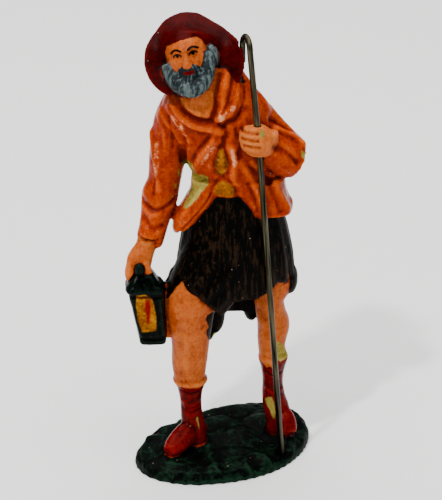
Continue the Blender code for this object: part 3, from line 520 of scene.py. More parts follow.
FOLDS = (
    # half width, height (below zero: a groove), points (x, z)
    (0.9, -0.7, ((-11.2, 96), (-9.4, 92.3), (-6.9, 90.2), (-3.4, 89.7), (-0.4, 89.1))),
    (0.9, 0.6, ((-11.6, 94.4), (-9.8, 90.9), (-7, 88.8), (-3.4, 88.2), (-0.6, 87.4))),
    (0.8, -0.6, ((-0.9, 100.6), (-2, 96), (-1.9, 93.6), (-2.9, 90.4))),
    (1, 0.7, ((0.6, 100.2), (-0.3, 96), (-0.3, 93.4), (-1.2, 90.8))),
    (0.8, -0.6, ((-0.4, 89.1), (0.4, 87), (-0.1, 85.1), (-0.9, 83.6))),
    (0.8, -0.5, ((-0.6, 83.6), (-2.1, 80), (-2, 77.4), (-0.6, 76.2), (0.9, 77.4), (1, 80), (-0.6, 83.6))),
    (0.8, -0.5, ((-2.9, 70.6), (-2.6, 73), (-1.2, 75), (0.6, 75.2), (2.2, 73.4), (3, 70.6))),
    (1, 0.7, ((-2.6, 85.1), (-5.2, 81), (-6.6, 77.6))),
    (0.9, 0.6, ((1.6, 83.2), (2.4, 80.8), (1.9, 77.6), (2.4, 74.2))),
    (1, 0.6, ((-14.2, 90.1), (-11.1, 85.9), (-9.8, 83.6))),
    (1, 0.6, ((-12.4, 92), (-9.6, 87.4), (-8.2, 84.8))),
    (1, -0.8, ((-8.9, 86.4), (-9.4, 82), (-9.3, 77.6))),
    (1, 0.7, ((-2, 89.9), (0.4, 91.4), (1.9, 93))),
    (0.9, -0.6, ((0.6, 89.8), (2.6, 90.4), (4.6, 92.6))),
    (1.1, 0.8, ((11.2, 86.9), (15, 84.6), (18, 82.2))),
    (0.9, -0.7, ((10.8, 88.6), (13.4, 86.6), (16.2, 84.6))),
    (1, -0.6, ((11.4, 84.2), (14.4, 81.6), (16.8, 79))),
    (1, -0.7, ((3.4, 82), (5.8, 78.4), (8.8, 75.8))),
    (1, 0.6, ((4.2, 80), (6.4, 75), (8.8, 69.6))),
    (1, -0.6, ((9.6, 75.8), (11.4, 71.4), (13, 66.8))),
    (1, 0.6, ((11.4, 75.2), (12.8, 71.2), (14.8, 67.2))),
    (0.9, -0.7, ((-19.2, 67.8), (-16.2, 66.4), (-13.4, 66.8), (-11.2, 68.2))),
    (1, 0.6, ((-16.6, 84), (-15.8, 77), (-15.2, 71.4))),
    (0.9, -0.5, ((-18.6, 64.4), (-16.6, 62.4), (-14.2, 62.6))),
)
BACK_FOLDS = (
    (1.1, -0.7, ((-8.6, 88), (-8, 82), (-7.4, 76))),
    (1.1, -0.7, ((8.6, 90), (7.6, 83), (9, 76))),
    (1.2, 0.7, ((-3.4, 92), (-1, 84), (2, 76))),
    (1.2, 0.6, ((2.6, 90), (3.4, 83), (4.2, 75))),
    (1, -0.9, ((-6.6, 72.4), (-1, 71.4), (5, 71.4), (12.6, 72.6))),
)
# Where the grooves between the fist's fingers start (x, z)
FINGER_LINES = ((3.9, 88.2), (3.9, 86.6), (4.4, 85.0))
FINGER_LINE = (0.5, -0.45, 3.6, 0.2)  # their half width, height, length and fall
# Finer work than the solid carries
FINE_FOLDS = (
    # the collar and its turned edge
    (0.45, -0.35, ((-12.4, 95.4), (-10.4, 92.6), (-7.4, 90.9), (-4, 90.2), (-1.4, 89.8))),
    (0.7, 0.35, ((-12, 93.4), (-9.6, 90.4), (-6.4, 88.6), (-3.4, 88.2))),
    (0.4, -0.3, ((1.8, 99.4), (1, 95.4), (-0.6, 92))),
    (0.7, 0.35, ((3.2, 98.6), (2.8, 95), (1.4, 91.8))),
    (0.4, -0.3, ((4.6, 97.4), (4.6, 94.6), (3.4, 91.4))),
    # the hanging sleeve
    (0.7, 0.3, ((-15, 89.4), (-13.6, 85.2), (-13.4, 80.4))),
    (0.5, -0.3, ((-12.6, 89.8), (-11.8, 86), (-11.8, 82))),
    (0.5, -0.3, ((-16.6, 77.6), (-15.8, 73.6), (-16.4, 70))),
    (0.6, 0.3, ((-18.8, 66.6), (-17, 65.2), (-14.8, 65.8))),
    (0.4, -0.35, ((-20.4, 60.4), (-18.2, 59.4), (-15.4, 59.4))),
    # the breast
    (0.6, -0.3, ((-3.4, 86), (-5.8, 82.8), (-7.2, 79.6))),
    (0.7, 0.3, ((-1.2, 88.2), (-3, 85.4), (-4.4, 82.6))),
    (0.5, -0.3, ((2.6, 88), (3.4, 84.4), (3.2, 80.6))),
    (0.4, -0.35, ((-0.4, 86.4), (0.4, 82), (0.2, 78.2))),
    # the bent sleeve
    (0.7, 0.3, ((12.4, 88.2), (15.2, 86.2), (17.2, 83.6))),
    (0.5, -0.3, ((12.6, 84), (15.2, 81.6), (16.8, 78.8))),
    # the skirts
    (0.6, 0.3, ((6.4, 79.6), (8.2, 77), (10.6, 75.2))),
    (0.5, -0.3, ((5.6, 74), (7, 70.6), (7.6, 67.2))),
    (0.5, -0.35, ((-2.8, 71.2), (-5, 68), (-7.4, 65), (-9.4, 62.6))),
    (0.6, 0.3, ((-5.4, 72.4), (-7.4, 69.4), (-9.4, 66.4))),
    # the boots
    (0.4, -0.3, ((-10.2, 19.6), (-8.4, 18.8), (-6.2, 19.2))),
    (0.5, 0.3, ((-10.2, 16.6), (-8.2, 15.6), (-6, 16.2))),
    (0.4, -0.3, ((-10, 14.4), (-8, 13.4), (-5.8, 14))),
    (0.4, -0.3, ((10, 22), (11.8, 21.2), (13.8, 21.8))),
    (0.5, 0.3, ((10.4, 16.8), (12.2, 16), (14.2, 16.6))),
    # the lantern: under its roof, over its foot and round its window
    (0.4, -0.45, ((-21.9, 47.6), (-18.2, 47.4), (-14.6, 47.4))),
    (0.4, -0.4, ((-19.9, 36.6), (-16.9, 36.4), (-14.2, 36.4))),
    (0.35, 0.3, ((-21.2, 46.6), (-20.4, 41.6), (-19.4, 37.4))),
    (0.35, 0.3, ((-14.9, 46.4), (-14.6, 41.6), (-14.2, 37.4))),
    # knees and shins
    (1.5, -0.3, ((-12.4, 42), (-11.4, 38.6), (-9, 37))),
    (1.5, -0.25, ((-4, 42), (-5, 38.8), (-7.4, 37))),
    (1.5, -0.3, ((8.6, 39.4), (10, 37.6), (13, 38.2))),
    (1.2, 0.3, ((-8.6, 36), (-8.8, 30), (-8.6, 24.6))),
)
# Soft dents and swellings of the face, in the head's own frame: (right, up), radius, height
FACE_MARKS = (
    ((-1.95, 1), 1, -0.35), ((1.95, 1), 1, -0.35), ((-1.95, 0.95), 0.55, 0.32), ((1.95, 0.95), 0.55, 0.32),
    ((-2.7, -1.3), 1.3, 0.25), ((2.7, -1.3), 1.3, 0.25), ((0, -3.3), 0.5, -0.25),
)
RAY_START = 100  # how far off the figure's middle a fold's points are dropped from
MARKS_FRONT = 2.0  # marks lie on what is further forward than this
ROUGH_ROCK = 0.8  # height of the ground's ridges
ROUGH_SCALE = 0.13  # ridges to the millimetre
ROUGH_NOISE = (1.3, 2.3, 3, 1.0, 2.0)  # loss of height and gap of size per octave, octaves, offset, gain
ROUGH_MEAN = 1.2  # of that noise
ROUGH_FROM = 0.5  # height at which the ridges set in
ROUGH_OVER = 2.0  # how gently they do, upwards from there and inwards from the ground's border
HAND_WORK = 0.05  # unevenness of the whole casting
HAND_SCALE = 0.6
HAND_NOISE = (0.8, 2.0, 3)


# The crook: a wire from the socket in the ground, through the fist, to a hook that turns back behind the brim

WIRE_RADIUS = 0.7
WIRE_CLEARANCE = 0.3  # all round the wire, in the fist and in the socket
SOCKET_DEPTH = 2.4
HOOK_RADIUS = 2.7
HOOK_TAIL = 4.0
CROOK_FOOT = (14.1, -7.6)
CROOK_CORNER = (7.9, -9.5, 84.6)  # the slight bend inside the fist
CROOK_TOP = (5.75, -9.9, 106.7)  # where the hook starts
CORNER_SPAN = 5.0  # how far the bend is spread either way
HOOK_AWAY = (-0.30, 0.95, 0.0)  # the way that the hook turns
HOOK_STEPS = 24
WIRE_ROUND = 7  # fineness of the wire's section
WIRE_WELD = 0.01  # points of the wire nearer than this are one


def crook_points(extra=0.0):
    """The wire's centre line. `extra` lengthens its foot."""
    foot = place(*CROOK_FOOT, GROUND_HEIGHT - SOCKET_DEPTH + WIRE_CLEARANCE - extra)
    corner, top = place(*CROOK_CORNER), place(*CROOK_TOP)
    low = corner + (foot - corner).normalized() * CORNER_SPAN * MM
    high = corner + (top - corner).normalized() * CORNER_SPAN * MM
    points = [foot, foot.lerp(low, 0.5)]
    for step in range(HOOK_STEPS // 2 + 1):
        share = 2 * step / HOOK_STEPS
        points.append(low.lerp(corner, share).lerp(corner.lerp(high, share), share))
    points.append(high.lerp(top, 0.5))
    away = Vector(HOOK_AWAY).normalized() * HOOK_RADIUS * MM
    rise = place(0, 0, HOOK_RADIUS)
    for step in range(HOOK_STEPS + 1):
        angle = math.pi * step / HOOK_STEPS
        points.append(top + away * (1 - math.cos(angle)) + rise * math.sin(angle))
    points.append(points[-1] - place(0, 0, HOOK_TAIL))
    return points


def draw_wire(name, radius, extra=0.0):
    """A round wire along the crook's centre line, as a closed mesh."""
    curve = bpy.data.curves.new(name, "CURVE")
    curve.dimensions = "3D"
    curve.bevel_depth = radius * MM
    curve.bevel_resolution = WIRE_ROUND
    curve.use_fill_caps = True
    points = crook_points(extra)
    line = curve.splines.new("POLY")
    line.points.add(len(points) - 1)
    for spot, point in zip(line.points, points):
        spot.co = (*point, 1)
    wire = new_object(name, curve)
    choose(wire)
    bpy.ops.object.convert(target="MESH")
    apply_modifier(wire, "WELD", merge_threshold=WIRE_WELD * MM)
    return wire


def measure_wire(mesh):
    """Each point's place across the wire and along it, so that the drawing marks follow its bends."""
    spots = read_points(mesh, "co")
    points = np.array(crook_points())
    nearest = np.full(len(spots), np.inf)
    laid = np.zeros((len(spots), 3))
    run = 0.0
    for a, b in zip(points, points[1:]):
        span = b - a
        share = np.clip((spots - a) @ span / (span @ span), 0, 1)
        off = spots - a - share[:, None] * span
        gap = np.linalg.norm(off, axis=1)
        closer = gap < nearest
        nearest[closer] = gap[closer]
        length = np.linalg.norm(span)
        laid[closer] = np.column_stack((off[:, 0], off[:, 1] - off[:, 2], run + share * length))[closer]
        run += length
    layer = mesh.attributes.new("drawn_out", "FLOAT_VECTOR", "POINT")
    layer.data.foreach_set("vector", laid.ravel())


def all_folds():
    """Every fold, each after the side of the figure that it is seen from."""
    half, height, length, fall = FINGER_LINE
    fingers = [(half, height, ((x, z), (x + length, z - fall))) for x, z in FINGER_LINES]
    sides = ((-1, FOLDS), (1, BACK_FOLDS), (-1, FINE_FOLDS), (-1, fingers))
    return [(view, *fold) for view, folds in sides for fold in folds]


def read_points(mesh, what):
    values = np.empty(len(mesh.vertices) * 3)
    mesh.vertices.foreach_get(what, values)
    return values.reshape(-1, 3)


def read_values(mesh, name):
    values = np.empty(len(mesh.vertices), np.float32)
    mesh.attributes[name].data.foreach_get("value", values)
    return values


def gap_to_run(spots, run):
    """Each spot's distance from a run of points, in a plane or in space."""
    nearest = np.full(len(spots), np.inf)
    for a, b in zip(run, run[1:]):
        span = b - a
        share = np.clip((spots - a) @ span / (span @ span), 0, 1)
        nearest = np.minimum(nearest, np.linalg.norm(spots - a - share[:, None] * span, axis=1))
    return nearest


def in_head_frame(spots):
    """How far right, forward and up each point lies in the head's own frame."""
    away = spots / MM - np.array(HEAD_CENTRE)
    return [away @ np.array(way) / HEAD_SHARE for way in head_frame()]


def carve(mesh):
    """Raises or sinks the skin along every fold, whose points are dropped on to it from the front or the back."""
    spots = read_points(mesh, "co")
    normals = read_points(mesh, "normal")
    skin = BVHTree.FromPolygons([vert.co for vert in mesh.vertices], [face.vertices for face in mesh.polygons])
    lift = np.zeros(len(spots))
    for view, half, height, points in all_folds():
        run = []
        for x, z in smooth_run(points, FOLD_STEPS):
            hit = skin.ray_cast(place(x, view * RAY_START, z), Vector((0, -view, 0)))[0]
            if hit is not None:
                run.append(np.array(hit))
        lift += height * MM * np.exp(-((gap_to_run(spots, run) / (half * MM)) ** 2))
    right, ahead, up = in_head_frame(spots)
    for (aside, above), radius, height in FACE_MARKS:
        gap = np.hypot(right - aside, up - above)
        lift += height * MM * np.exp(-((gap / radius) ** 2)) * (ahead > MARKS_FRONT)
    ground = read_values(mesh, PAINT + "ground")
    for k, spot in enumerate(spots):
        point = Vector(spot) / MM
        lift[k] += HAND_WORK * MM * noise.fractal(point * HAND_SCALE, *HAND_NOISE)
        inward, upward = -ground[k], point.z - ROUGH_FROM
        if inward > 0 and upward > 0:
            ridge = noise.ridged_multi_fractal(point * ROUGH_SCALE, *ROUGH_NOISE) - ROUGH_MEAN
            lift[k] += ROUGH_ROCK * MM * ridge * min(1.0, upward / ROUGH_OVER) * min(1.0, inward / ROUGH_OVER)
    spots += normals * lift[:, None]
    mesh.vertices.foreach_set("co", spots.ravel())
    mesh.update()


# Paint: each one's border is where its forms meet the others, and the patches are outlines seen from the front

GROUPS = (
    ("coat", (add_coat,)),
    ("ground", (add_ground,)),
    ("skin", (add_skin,)),
    ("boots", (add_boots,)),
    ("breeches", (add_breeches, add_hips)),
    ("lantern", (add_lantern,)),
    ("beard", (add_beard,)),
    ("hat", (add_hat,)),
)
# Outlines (right, up) as seen by an eye that looks 25 degrees down on the figure's front, in mm at its middle
EYE_MIDDLE = (-0.7, -2.5, 55.0)
EYE_DISTANCE = 500.0
EYE_DOWN = 25.0
PATCHES = {
    "vee": (
        ((-11.5, 37.1), (-10.8, 36.2), (-9.4, 34.4), (-8.2, 33.3), (-6, 31.6), (-3.3, 30.8), (-2.2, 33.1),
         (-1.2, 36.4), (-0.5, 39.2), (0.2, 41.6), (-1.4, 43.2), (-7.3, 42.3), (-12, 38.8)),
    ),
    "ochre": (
        ((0, 24.5), (-1, 22.2), (-1.4, 19.6), (-0.9, 18.1), (0.2, 17.6), (1.2, 18.3), (1.7, 20.2),
         (1.1, 22.5)),
        ((-1.7, 13.7), (-1.4, 14.9), (-0.8, 15.7), (0.5, 16.3), (2, 15.8), (2.9, 14.9), (3.3, 13.1),
         (2, 12.4), (0.1, 12.7), (-1.2, 12.8)),
    ),
    "bare_shin": (
        ((-12.5, -25.8), (-12.5, -30.1), (-11.3, -31.7), (-9.6, -32.3), (-7.3, -32.5), (-4.9, -32.3),
         (-3.5, -31.5), (-2.1, -29.4), (-2.1, -25.8)),
        ((8.2, -23.5), (9.6, -26.3), (10.6, -27.8), (11.5, -27.4), (12.1, -28.2), (12.9, -26.8),
         (13.2, -23.5)),
    ),
    "moss": (
        ((9.3, 28.2), (10.2, 28), (10.3, 26.8), (9.6, 26.1), (9, 27)),
    ),
    # painted highlights: pale glints on the coat's breast, collar and sleeve
    "rub": (
        ((-11.9, 31.4), (-10.9, 31.6), (-9, 29.4), (-7.9, 26.9), (-8.6, 26.3), (-9.9, 28.6), (-11.4, 30.4)),
        ((-0.6, 32), (0.3, 32.6), (0.9, 31), (0.7, 29.6), (0, 29.4), (-0.4, 30.6)),
        ((1.1, 32), (1.3, 33), (2.9, 34.2), (3.3, 33.4), (2.4, 32.4)),
        ((-1.4, 24.9), (-1, 24.1), (-3, 21.6), (-4.3, 19.6), (-4.9, 20.2), (-3.8, 22.2), (-2.2, 24.2)),
        ((-15.6, 25.4), (-14.9, 25.4), (-14.6, 21), (-15.2, 17), (-15.9, 17), (-15.7, 21)),
        ((2.3, 23.8), (2.9, 23.6), (3.6, 20.6), (3.2, 19.4), (2.7, 20.6), (2.4, 22.4)),
    ),
    # black paint laid over the breeches' hem and the calf, and a black dab between the brim and the shoulder
    "black_dabs": (
        ((-12.9, -2.8), (-4.9, -2.8), (-1.2, -14.1), (-1.9, -14), (-3.3, -12.6), (-6, -10.9), (-8, -9.5),
         (-9.2, -7.4), (-10.6, -8.8), (-11.9, -10.9), (-12.9, -11.7)),
        ((-3.3, -15.3), (-2.3, -14.5), (-0.7, -14.7), (0.2, -16), (-0.5, -18.8), (-1.6, -20.4), (-2.9, -21.4),
         (-3.3, -19.5), (-2.8, -17.9), (-3.5, -16.4)),
        ((4.5, 41.8), (5.1, 41.3), (5.4, 40.2), (5.9, 39.5), (5.3, 39), (4.5, 39.4), (4.2, 40.7)),
    ),
    "flesh_chip": (
        ((-14.6, -18.6), (-12.5, -11.7), (-11.3, -10.8), (-10.6, -14.1), (-10.8, -21.9), (-12, -22.3),
         (-12.7, -20.7)),
        ((14.6, -8.9), (16.2, -6.8), (17.2, -7.8), (16.4, -11.7), (14.8, -11.7)),
    ),
    "hat_edge": (
        ((-14.3, 47.2), (-12.9, 47.8), (-10.1, 49), (-7.3, 50.1), (-4.2, 50.9), (-3.5, 50.3), (-1.2, 51.7),
         (-4.9, 54), (-9.6, 54), (-14.3, 50.8)),
    ),
    "window": (
        ((-20, -10.6), (-17.8, -10.4), (-16.4, -11.3), (-15.6, -13.4), (-15, -16.7), (-15.2, -18.9),
         (-16.8, -19.2), (-18.6, -19.4), (-19.3, -16.7), (-20.1, -13.4)),
    ),
    "flame": (
        ((-17.9, -11.9), (-17, -11.6), (-16.5, -13.4), (-16.4, -16), (-16.7, -17.6), (-17.5, -17.3),
         (-17.8, -14.7)),
    ),
    "chip": (
        ((-10.3, 19.5), (-9.7, 19.3), (-9.7, 18.1), (-10, 17.3), (-10.3, 18.3)),
        ((-10.9, 15.7), (-10.3, 15.5), (-10.5, 14.6), (-10.9, 14.8)),
        ((-11.4, 12.7), (-11, 12.5), (-11.1, 11.6), (-11.4, 12)),
        ((-9.2, 20.6), (-8.1, 21), (-6.9, 20.2), (-6.3, 18.8), (-4.8, 17.8), (-3.1, 17), (-3.2, 15.3),
         (-4.2, 13.7), (-5.3, 12.3), (-6.6, 10.8), (-8.2, 9.7), (-9.2, 9.5), (-8, 12), (-6.9, 13.7),
         (-6.6, 15.1), (-7.3, 17), (-8.2, 18.8), (-9.1, 19.6)),
        ((18.7, 23.8), (19.5, 23), (20.2, 22.1), (19.9, 21.2), (19.2, 21.9), (18.9, 22.8)),
        ((13, -21.2), (14, -21.9), (15.6, -23.6), (15.7, -25), (14.9, -25.7), (13.9, -26.7), (13, -25.7)),
        ((10.4, -34.7), (11.8, -34.5), (12.5, -36.1), (12.8, -38.2), (12.6, -39.5), (11.6, -38.5),
         (10.8, -36.8)),
        ((-5.7, -39.5), (-5.3, -41.3), (-5.1, -43), (-5.3, -44.5), (-5.1, -44.5), (-4.9, -43), (-5.1, -41.3),
         (-5.5, -39.5)),
        ((-1.9, -21.3), (-0.5, -19.6), (-1.1, -19.2), (-2.1, -20.2)),
    ),
}
PAINT_REACH = 6.0  # how far from its forms a paint is still looked for
PATCH_REACH = 1.5  # how far round a patch its border is known
PATCH_LIFT = 0.3  # off the skin, from where the eye is looked for
HAT_OVER = 4.6  # in the head's frame, all above this is hat
HAT_BEHIND = (-0.5, -1.0)  # and so is what is further back and higher than this
WELL_INSIDE = -1.0  # a paint's border, in mm
PAINT = "paint_"  # starts the name of each paint's attribute
SMOOTH_SHARE = 0.5  # of the way to its neighbours' middle that smoothing moves a point, at each round
SKIN_ROUNDS = 2
BACK_ROUNDS = 60  # how far the forms at the back of the coat are softened into each other
CREASE_ROUNDS = 4  # how widely the skin is averaged to find creases and ridges


def outline_margin(spots, outline):
    """How far each point of a plane lies outside a closed outline, in mm; below zero inside it."""
    ring = np.array((*outline, outline[0]), float)
    x, z = spots.T
    inside = np.zeros(len(spots), bool)
    for (ax, az), (bx, bz) in zip(ring, ring[1:]):
        if az != bz:
            inside ^= ((az > z) != (bz > z)) & (x < (bx - ax) * (z - az) / (bz - az) + ax)
    near = gap_to_run(spots, ring)
    return np.where(inside, -near, near)


def write_values(mesh, name, values):
    layer = mesh.attributes.get(name) or mesh.attributes.new(name, "FLOAT", "POINT")
    layer.data.foreach_set("value", values.astype(np.float32))


def paint_borders(mesh, trees):
    """One attribute for each paint: how far, in mm, a point is from its forms beyond the nearest other form."""
    spots = [vert.co for vert in mesh.vertices]
    reach = PAINT_REACH * MM
    gaps = np.empty((len(trees), len(spots)))
    for row, tree in enumerate(trees.values()):
        for k, spot in enumerate(spots):
            near = tree.find_nearest(spot, reach)[3]
            gaps[row, k] = reach if near is None else near
    gaps /= MM
    for row, name in enumerate(trees):
        others = np.delete(gaps, row, 0).min(0)
        write_values(mesh, PAINT + name, gaps[row] - others)


# A patch that widens a paint, or keeps it off: paint, patch, widens
PATCHED = (
    ("hat", "hat_edge", True),
    ("breeches", "black_dabs", True),
    ("skin", "bare_shin", True),
    ("boots", "bare_shin", False),
)


def paint_patches(mesh):
    """In mm, how far each point is outside a patch of paint, wear or painted highlight, which lies only where
    seen.
    """
    spots = read_points(mesh, "co") / MM
    normals = read_points(mesh, "normal")
    down = math.radians(EYE_DOWN)
    back = np.array((0.0, -math.cos(down), math.sin(down)))
    above = np.array((0.0, math.sin(down), math.cos(down)))
    seen = spots - np.array(EYE_MIDDLE)
    share = EYE_DISTANCE / (EYE_DISTANCE - seen @ back)
    flat = np.column_stack((seen[:, 0] * share, seen @ above * share))
    skin = BVHTree.FromPolygons(spots, [tuple(face.vertices) for face in mesh.polygons])
    eye = Vector(np.array(EYE_MIDDLE) + back * EYE_DISTANCE)
    margins = {}
    for name, outlines in PATCHES.items():
        margin = np.min([outline_margin(flat, outline) for outline in outlines], 0)
        for k in np.nonzero(margin < PATCH_REACH)[0]:
            start = Vector(spots[k] + normals[k] * PATCH_LIFT)
            if normals[k] @ back < 0 or skin.ray_cast(start, eye - start, EYE_DISTANCE)[0]:
                margin[k] = PATCH_REACH
        margins[name] = margin
    for paint, patch, widens in PATCHED:
        margin, change = read_values(mesh, PAINT + paint), margins[patch]
        margin = np.minimum(margin, change) if widens else np.maximum(margin, -change)
        write_values(mesh, PAINT + paint, margin)
    margin, (_, ahead, up) = read_values(mesh, PAINT + "hat"), in_head_frame(spots * MM)
    margin[(up > HAT_OVER) | (ahead < HAT_BEHIND[0]) & (up > HAT_BEHIND[1])] = WELL_INSIDE
    write_values(mesh, PAINT + "hat", margin)
    for name, margin in margins.items():
        if all(name != patch for _, patch, _ in PATCHED):
            write_values(mesh, PAINT + name, margin)


# Strokes of the painted face, in the head's own frame: half width and points (right, up)
INK_STROKES = (
    (0.26, ((-3.3, 1.95), (-2.5, 2.45), (-1.7, 2.45), (-0.95, 2.05))),
    (0.26, ((3.3, 1.95), (2.5, 2.45), (1.7, 2.45), (0.95, 2.05))),
    (0.17, ((-2.95, 0.95), (-2.4, 1.4), (-1.6, 1.4), (-1, 0.85))),
    (0.17, ((2.95, 0.95), (2.4, 1.4), (1.6, 1.4), (1, 0.85))),
    (0.36, ((-1.98, 1.05), (-1.92, 0.95))),
    (0.36, ((1.92, 1.05), (1.98, 0.95))),
)
LIP_STROKES = ((0.42, ((-0.95, -3.35), (0.0, -3.5), (0.95, -3.35))),)
STROKE_STEPS = 3
FACE_FRONT = 2.5  # strokes lie on what is at least this far forward
FAR_OFF = 9.0


def paint_face(mesh):
    right, ahead, up = in_head_frame(read_points(mesh, "co"))
    flat = np.column_stack((right, up))
    for name, strokes in (("ink", INK_STROKES), ("lips", LIP_STROKES)):
        gaps = [gap_to_run(flat, smooth_run(points, STROKE_STEPS)) - half for half, points in strokes]
        write_values(mesh, PAINT + name, np.where(ahead > FACE_FRONT, np.min(gaps, 0), FAR_OFF))


# Its depths set the painted shade in creases and the painted highlight on ridges
def crease_map(mesh):
    """How deep each point lies below the average of the skin around it, in mm."""
    spots = read_points(mesh, "co")
    normals = read_points(mesh, "normal")
    ends = np.empty(len(mesh.edges) * 2, int)
    mesh.edges.foreach_get("vertices", ends)
    ends = ends.reshape(-1, 2)
    count = np.bincount(ends.ravel(), minlength=len(spots))[:, None]
    mean = spots.copy()
    for _ in range(CREASE_ROUNDS):
        total = np.zeros_like(mean)
        np.add.at(total, ends[:, 0], mean[ends[:, 1]])
        np.add.at(total, ends[:, 1], mean[ends[:, 0]])
        mean = total / count
    write_values(mesh, "crease", ((mean - spots) * normals).sum(1) / MM)


# Finishes


def add(tree, kind, inputs=None, **settings):
    """Adds a shader node, sets it, and sets or links its inputs. A node given there means its first output."""
    made = tree.nodes.new("ShaderNode" + kind)
    for key, value in settings.items():
        setattr(made, key, value)
    for key, value in (inputs or {}).items():
        if isinstance(value, bpy.types.Node):
            value = value.outputs[0]
        if isinstance(value, bpy.types.NodeSocket):
            tree.links.new(value, made.inputs[key])
        else:
            made.inputs[key].default_value = value
    return made


def new_material(name):
    """An empty material, and its tree."""
    made = bpy.data.materials.new(name)
    made.use_nodes = True
    made.node_tree.nodes.clear()
    return made, made.node_tree


def shade(tree, inputs):
    """Ends a material with its shader and its output."""
    add(tree, "OutputMaterial", {"Surface": add(tree, "BsdfPrincipled", inputs)})


# Each paint, from the lowest coat up: its colour in creases, darker as painted shade, on the body (none: the
# user's setting) and on ridges, lighter as a painted highlight; roughness, mottling and upright streaks;
# softness of its border and how far the brush strays over it, both in mm
PAINTS = (
    ("ground", ("#000000", None, "#10281a"), (0.50, 0.8, 0.0), 0.10, 0.25),
    ("ochre", ("#522800", "#844400", "#a46404"), (0.30, 1.0, 0.0), 0.15, 0.20),
    ("vee", ("#6a1c00", "#a84a12", "#cc6c2c"), (0.28, 0.6, 0.2), 0.15, 0.30),
    # painted highlight: the pale glints of the coat's gloss
    ("rub", ("#8e2400", "#a83c0c", "#e09a6c"), (0.17, 1.4, 0.5), 0.30, 0.30),
    ("skin", ("#5c1c00", None, "#c86e30"), (0.30, 0.5, 0.1), 0.10, 0.12),
    ("flesh_chip", ("#5c1c00", "#a84410", "#cc6828"), (0.30, 0.5, 0.0), 0.10, 0.30),
    ("boots", ("#1c0000", None, "#780a06"), (0.20, 0.7, 0.2), 0.10, 0.35),
    ("breeches", ("#000000", None, "#20140a"), (0.45, 0.6, 0.8), 0.12, 0.20),
    ("lantern", ("#000000", None, "#0c1812"), (0.20, 0.6, 0.2), 0.10, 0.15),
    ("moss", ("#2c2604", "#6a6428", "#8c8440"), (0.40, 0.6, 0.0), 0.30, 0.35),
    ("beard", ("#040606", None, "#566262"), (0.40, 0.5, 0.7), 0.10, 0.15),
    ("hat", ("#100000", None, "#500000"), (0.40, 0.6, 0.0), 0.10, 0.12),
    ("window", ("#401c00", "#804400", "#b87c00"), (0.30, 0.8, 0.0), 0.15, 0.25),
    ("flame", ("#440000", "#780400", "#941400"), (0.30, 0.5, 0.0), 0.20, 0.25),
    ("ink", ("#000000", "#020101", "#0a0604"), (0.35, 0.3, 0.0), 0.06, 0.06),
    ("lips", ("#3c0000", "#600000", "#800804"), (0.30, 0.3, 0.0), 0.08, 0.08),
    ("chip", ("#44380c", "#86742a", "#ac9a50"), (0.85, 0.6, 0.0), 0.12, 0.45),
)
# Under them all, the coat's: its painted shade in creases and its painted highlight on ridges; roughness,
# mottling and upright streaks
COAT_PAINT = (("#540a00", "#be4a04"), (0.17, 0.45, 0.13))
COAT_GLINTS = "#dc8858"  # painted glints: pale highlights where the orange gloss is thickest
SPECKS = (
    # cells to the metre, share of them with a speck, its inner and outer edge, strength, colour
    (420.0, 0.28, 0.05, 0.08, 0.8, "#100804"),  # pits, in cells of 2.4 mm
    (700.0, 0.22, 0.07, 0.12, 0.32, "#c8a890"),  # pale specks, partly dust and partly painted glints, in cells of 1.4 mm
)
# Noises of the finishes, in cells to the metre, and how far some are drawn out along their grain
FINE = 1500.0  # the paint's stipple, 0.7 mm: coarser than the real one, so that it shows
BROAD = 260.0  # mottles, 4 mm, about as wide as the brush
GLINT_STREAKS, GLINT_DRAWN, GLINT_SLANT = 2400.0, (1.0, 1.0, 0.3), (0.0, 0.5, 0.0)  # streaks of the painted glints, 0.4 mm wide
BRUSH, BRUSH_DRAWN = 1400.0, (1.0, 1.0, 0.12)  # streaks of the hairs, 0.7 mm: coarser than real, to show
WIRE_MARKS, WIRE_DRAWN = 1800.0, (1.0, 1.0, 0.05)  # marks of the die, brightened as painted highlights, 0.6 mm: coarser than real, to show
CARD_GRAIN = 900.0  # 1.1 mm
PAINT_GLOSS = 0.03  # low, because the painted glints already carry the paint's shine
PAINT_RELIEF = 0.12


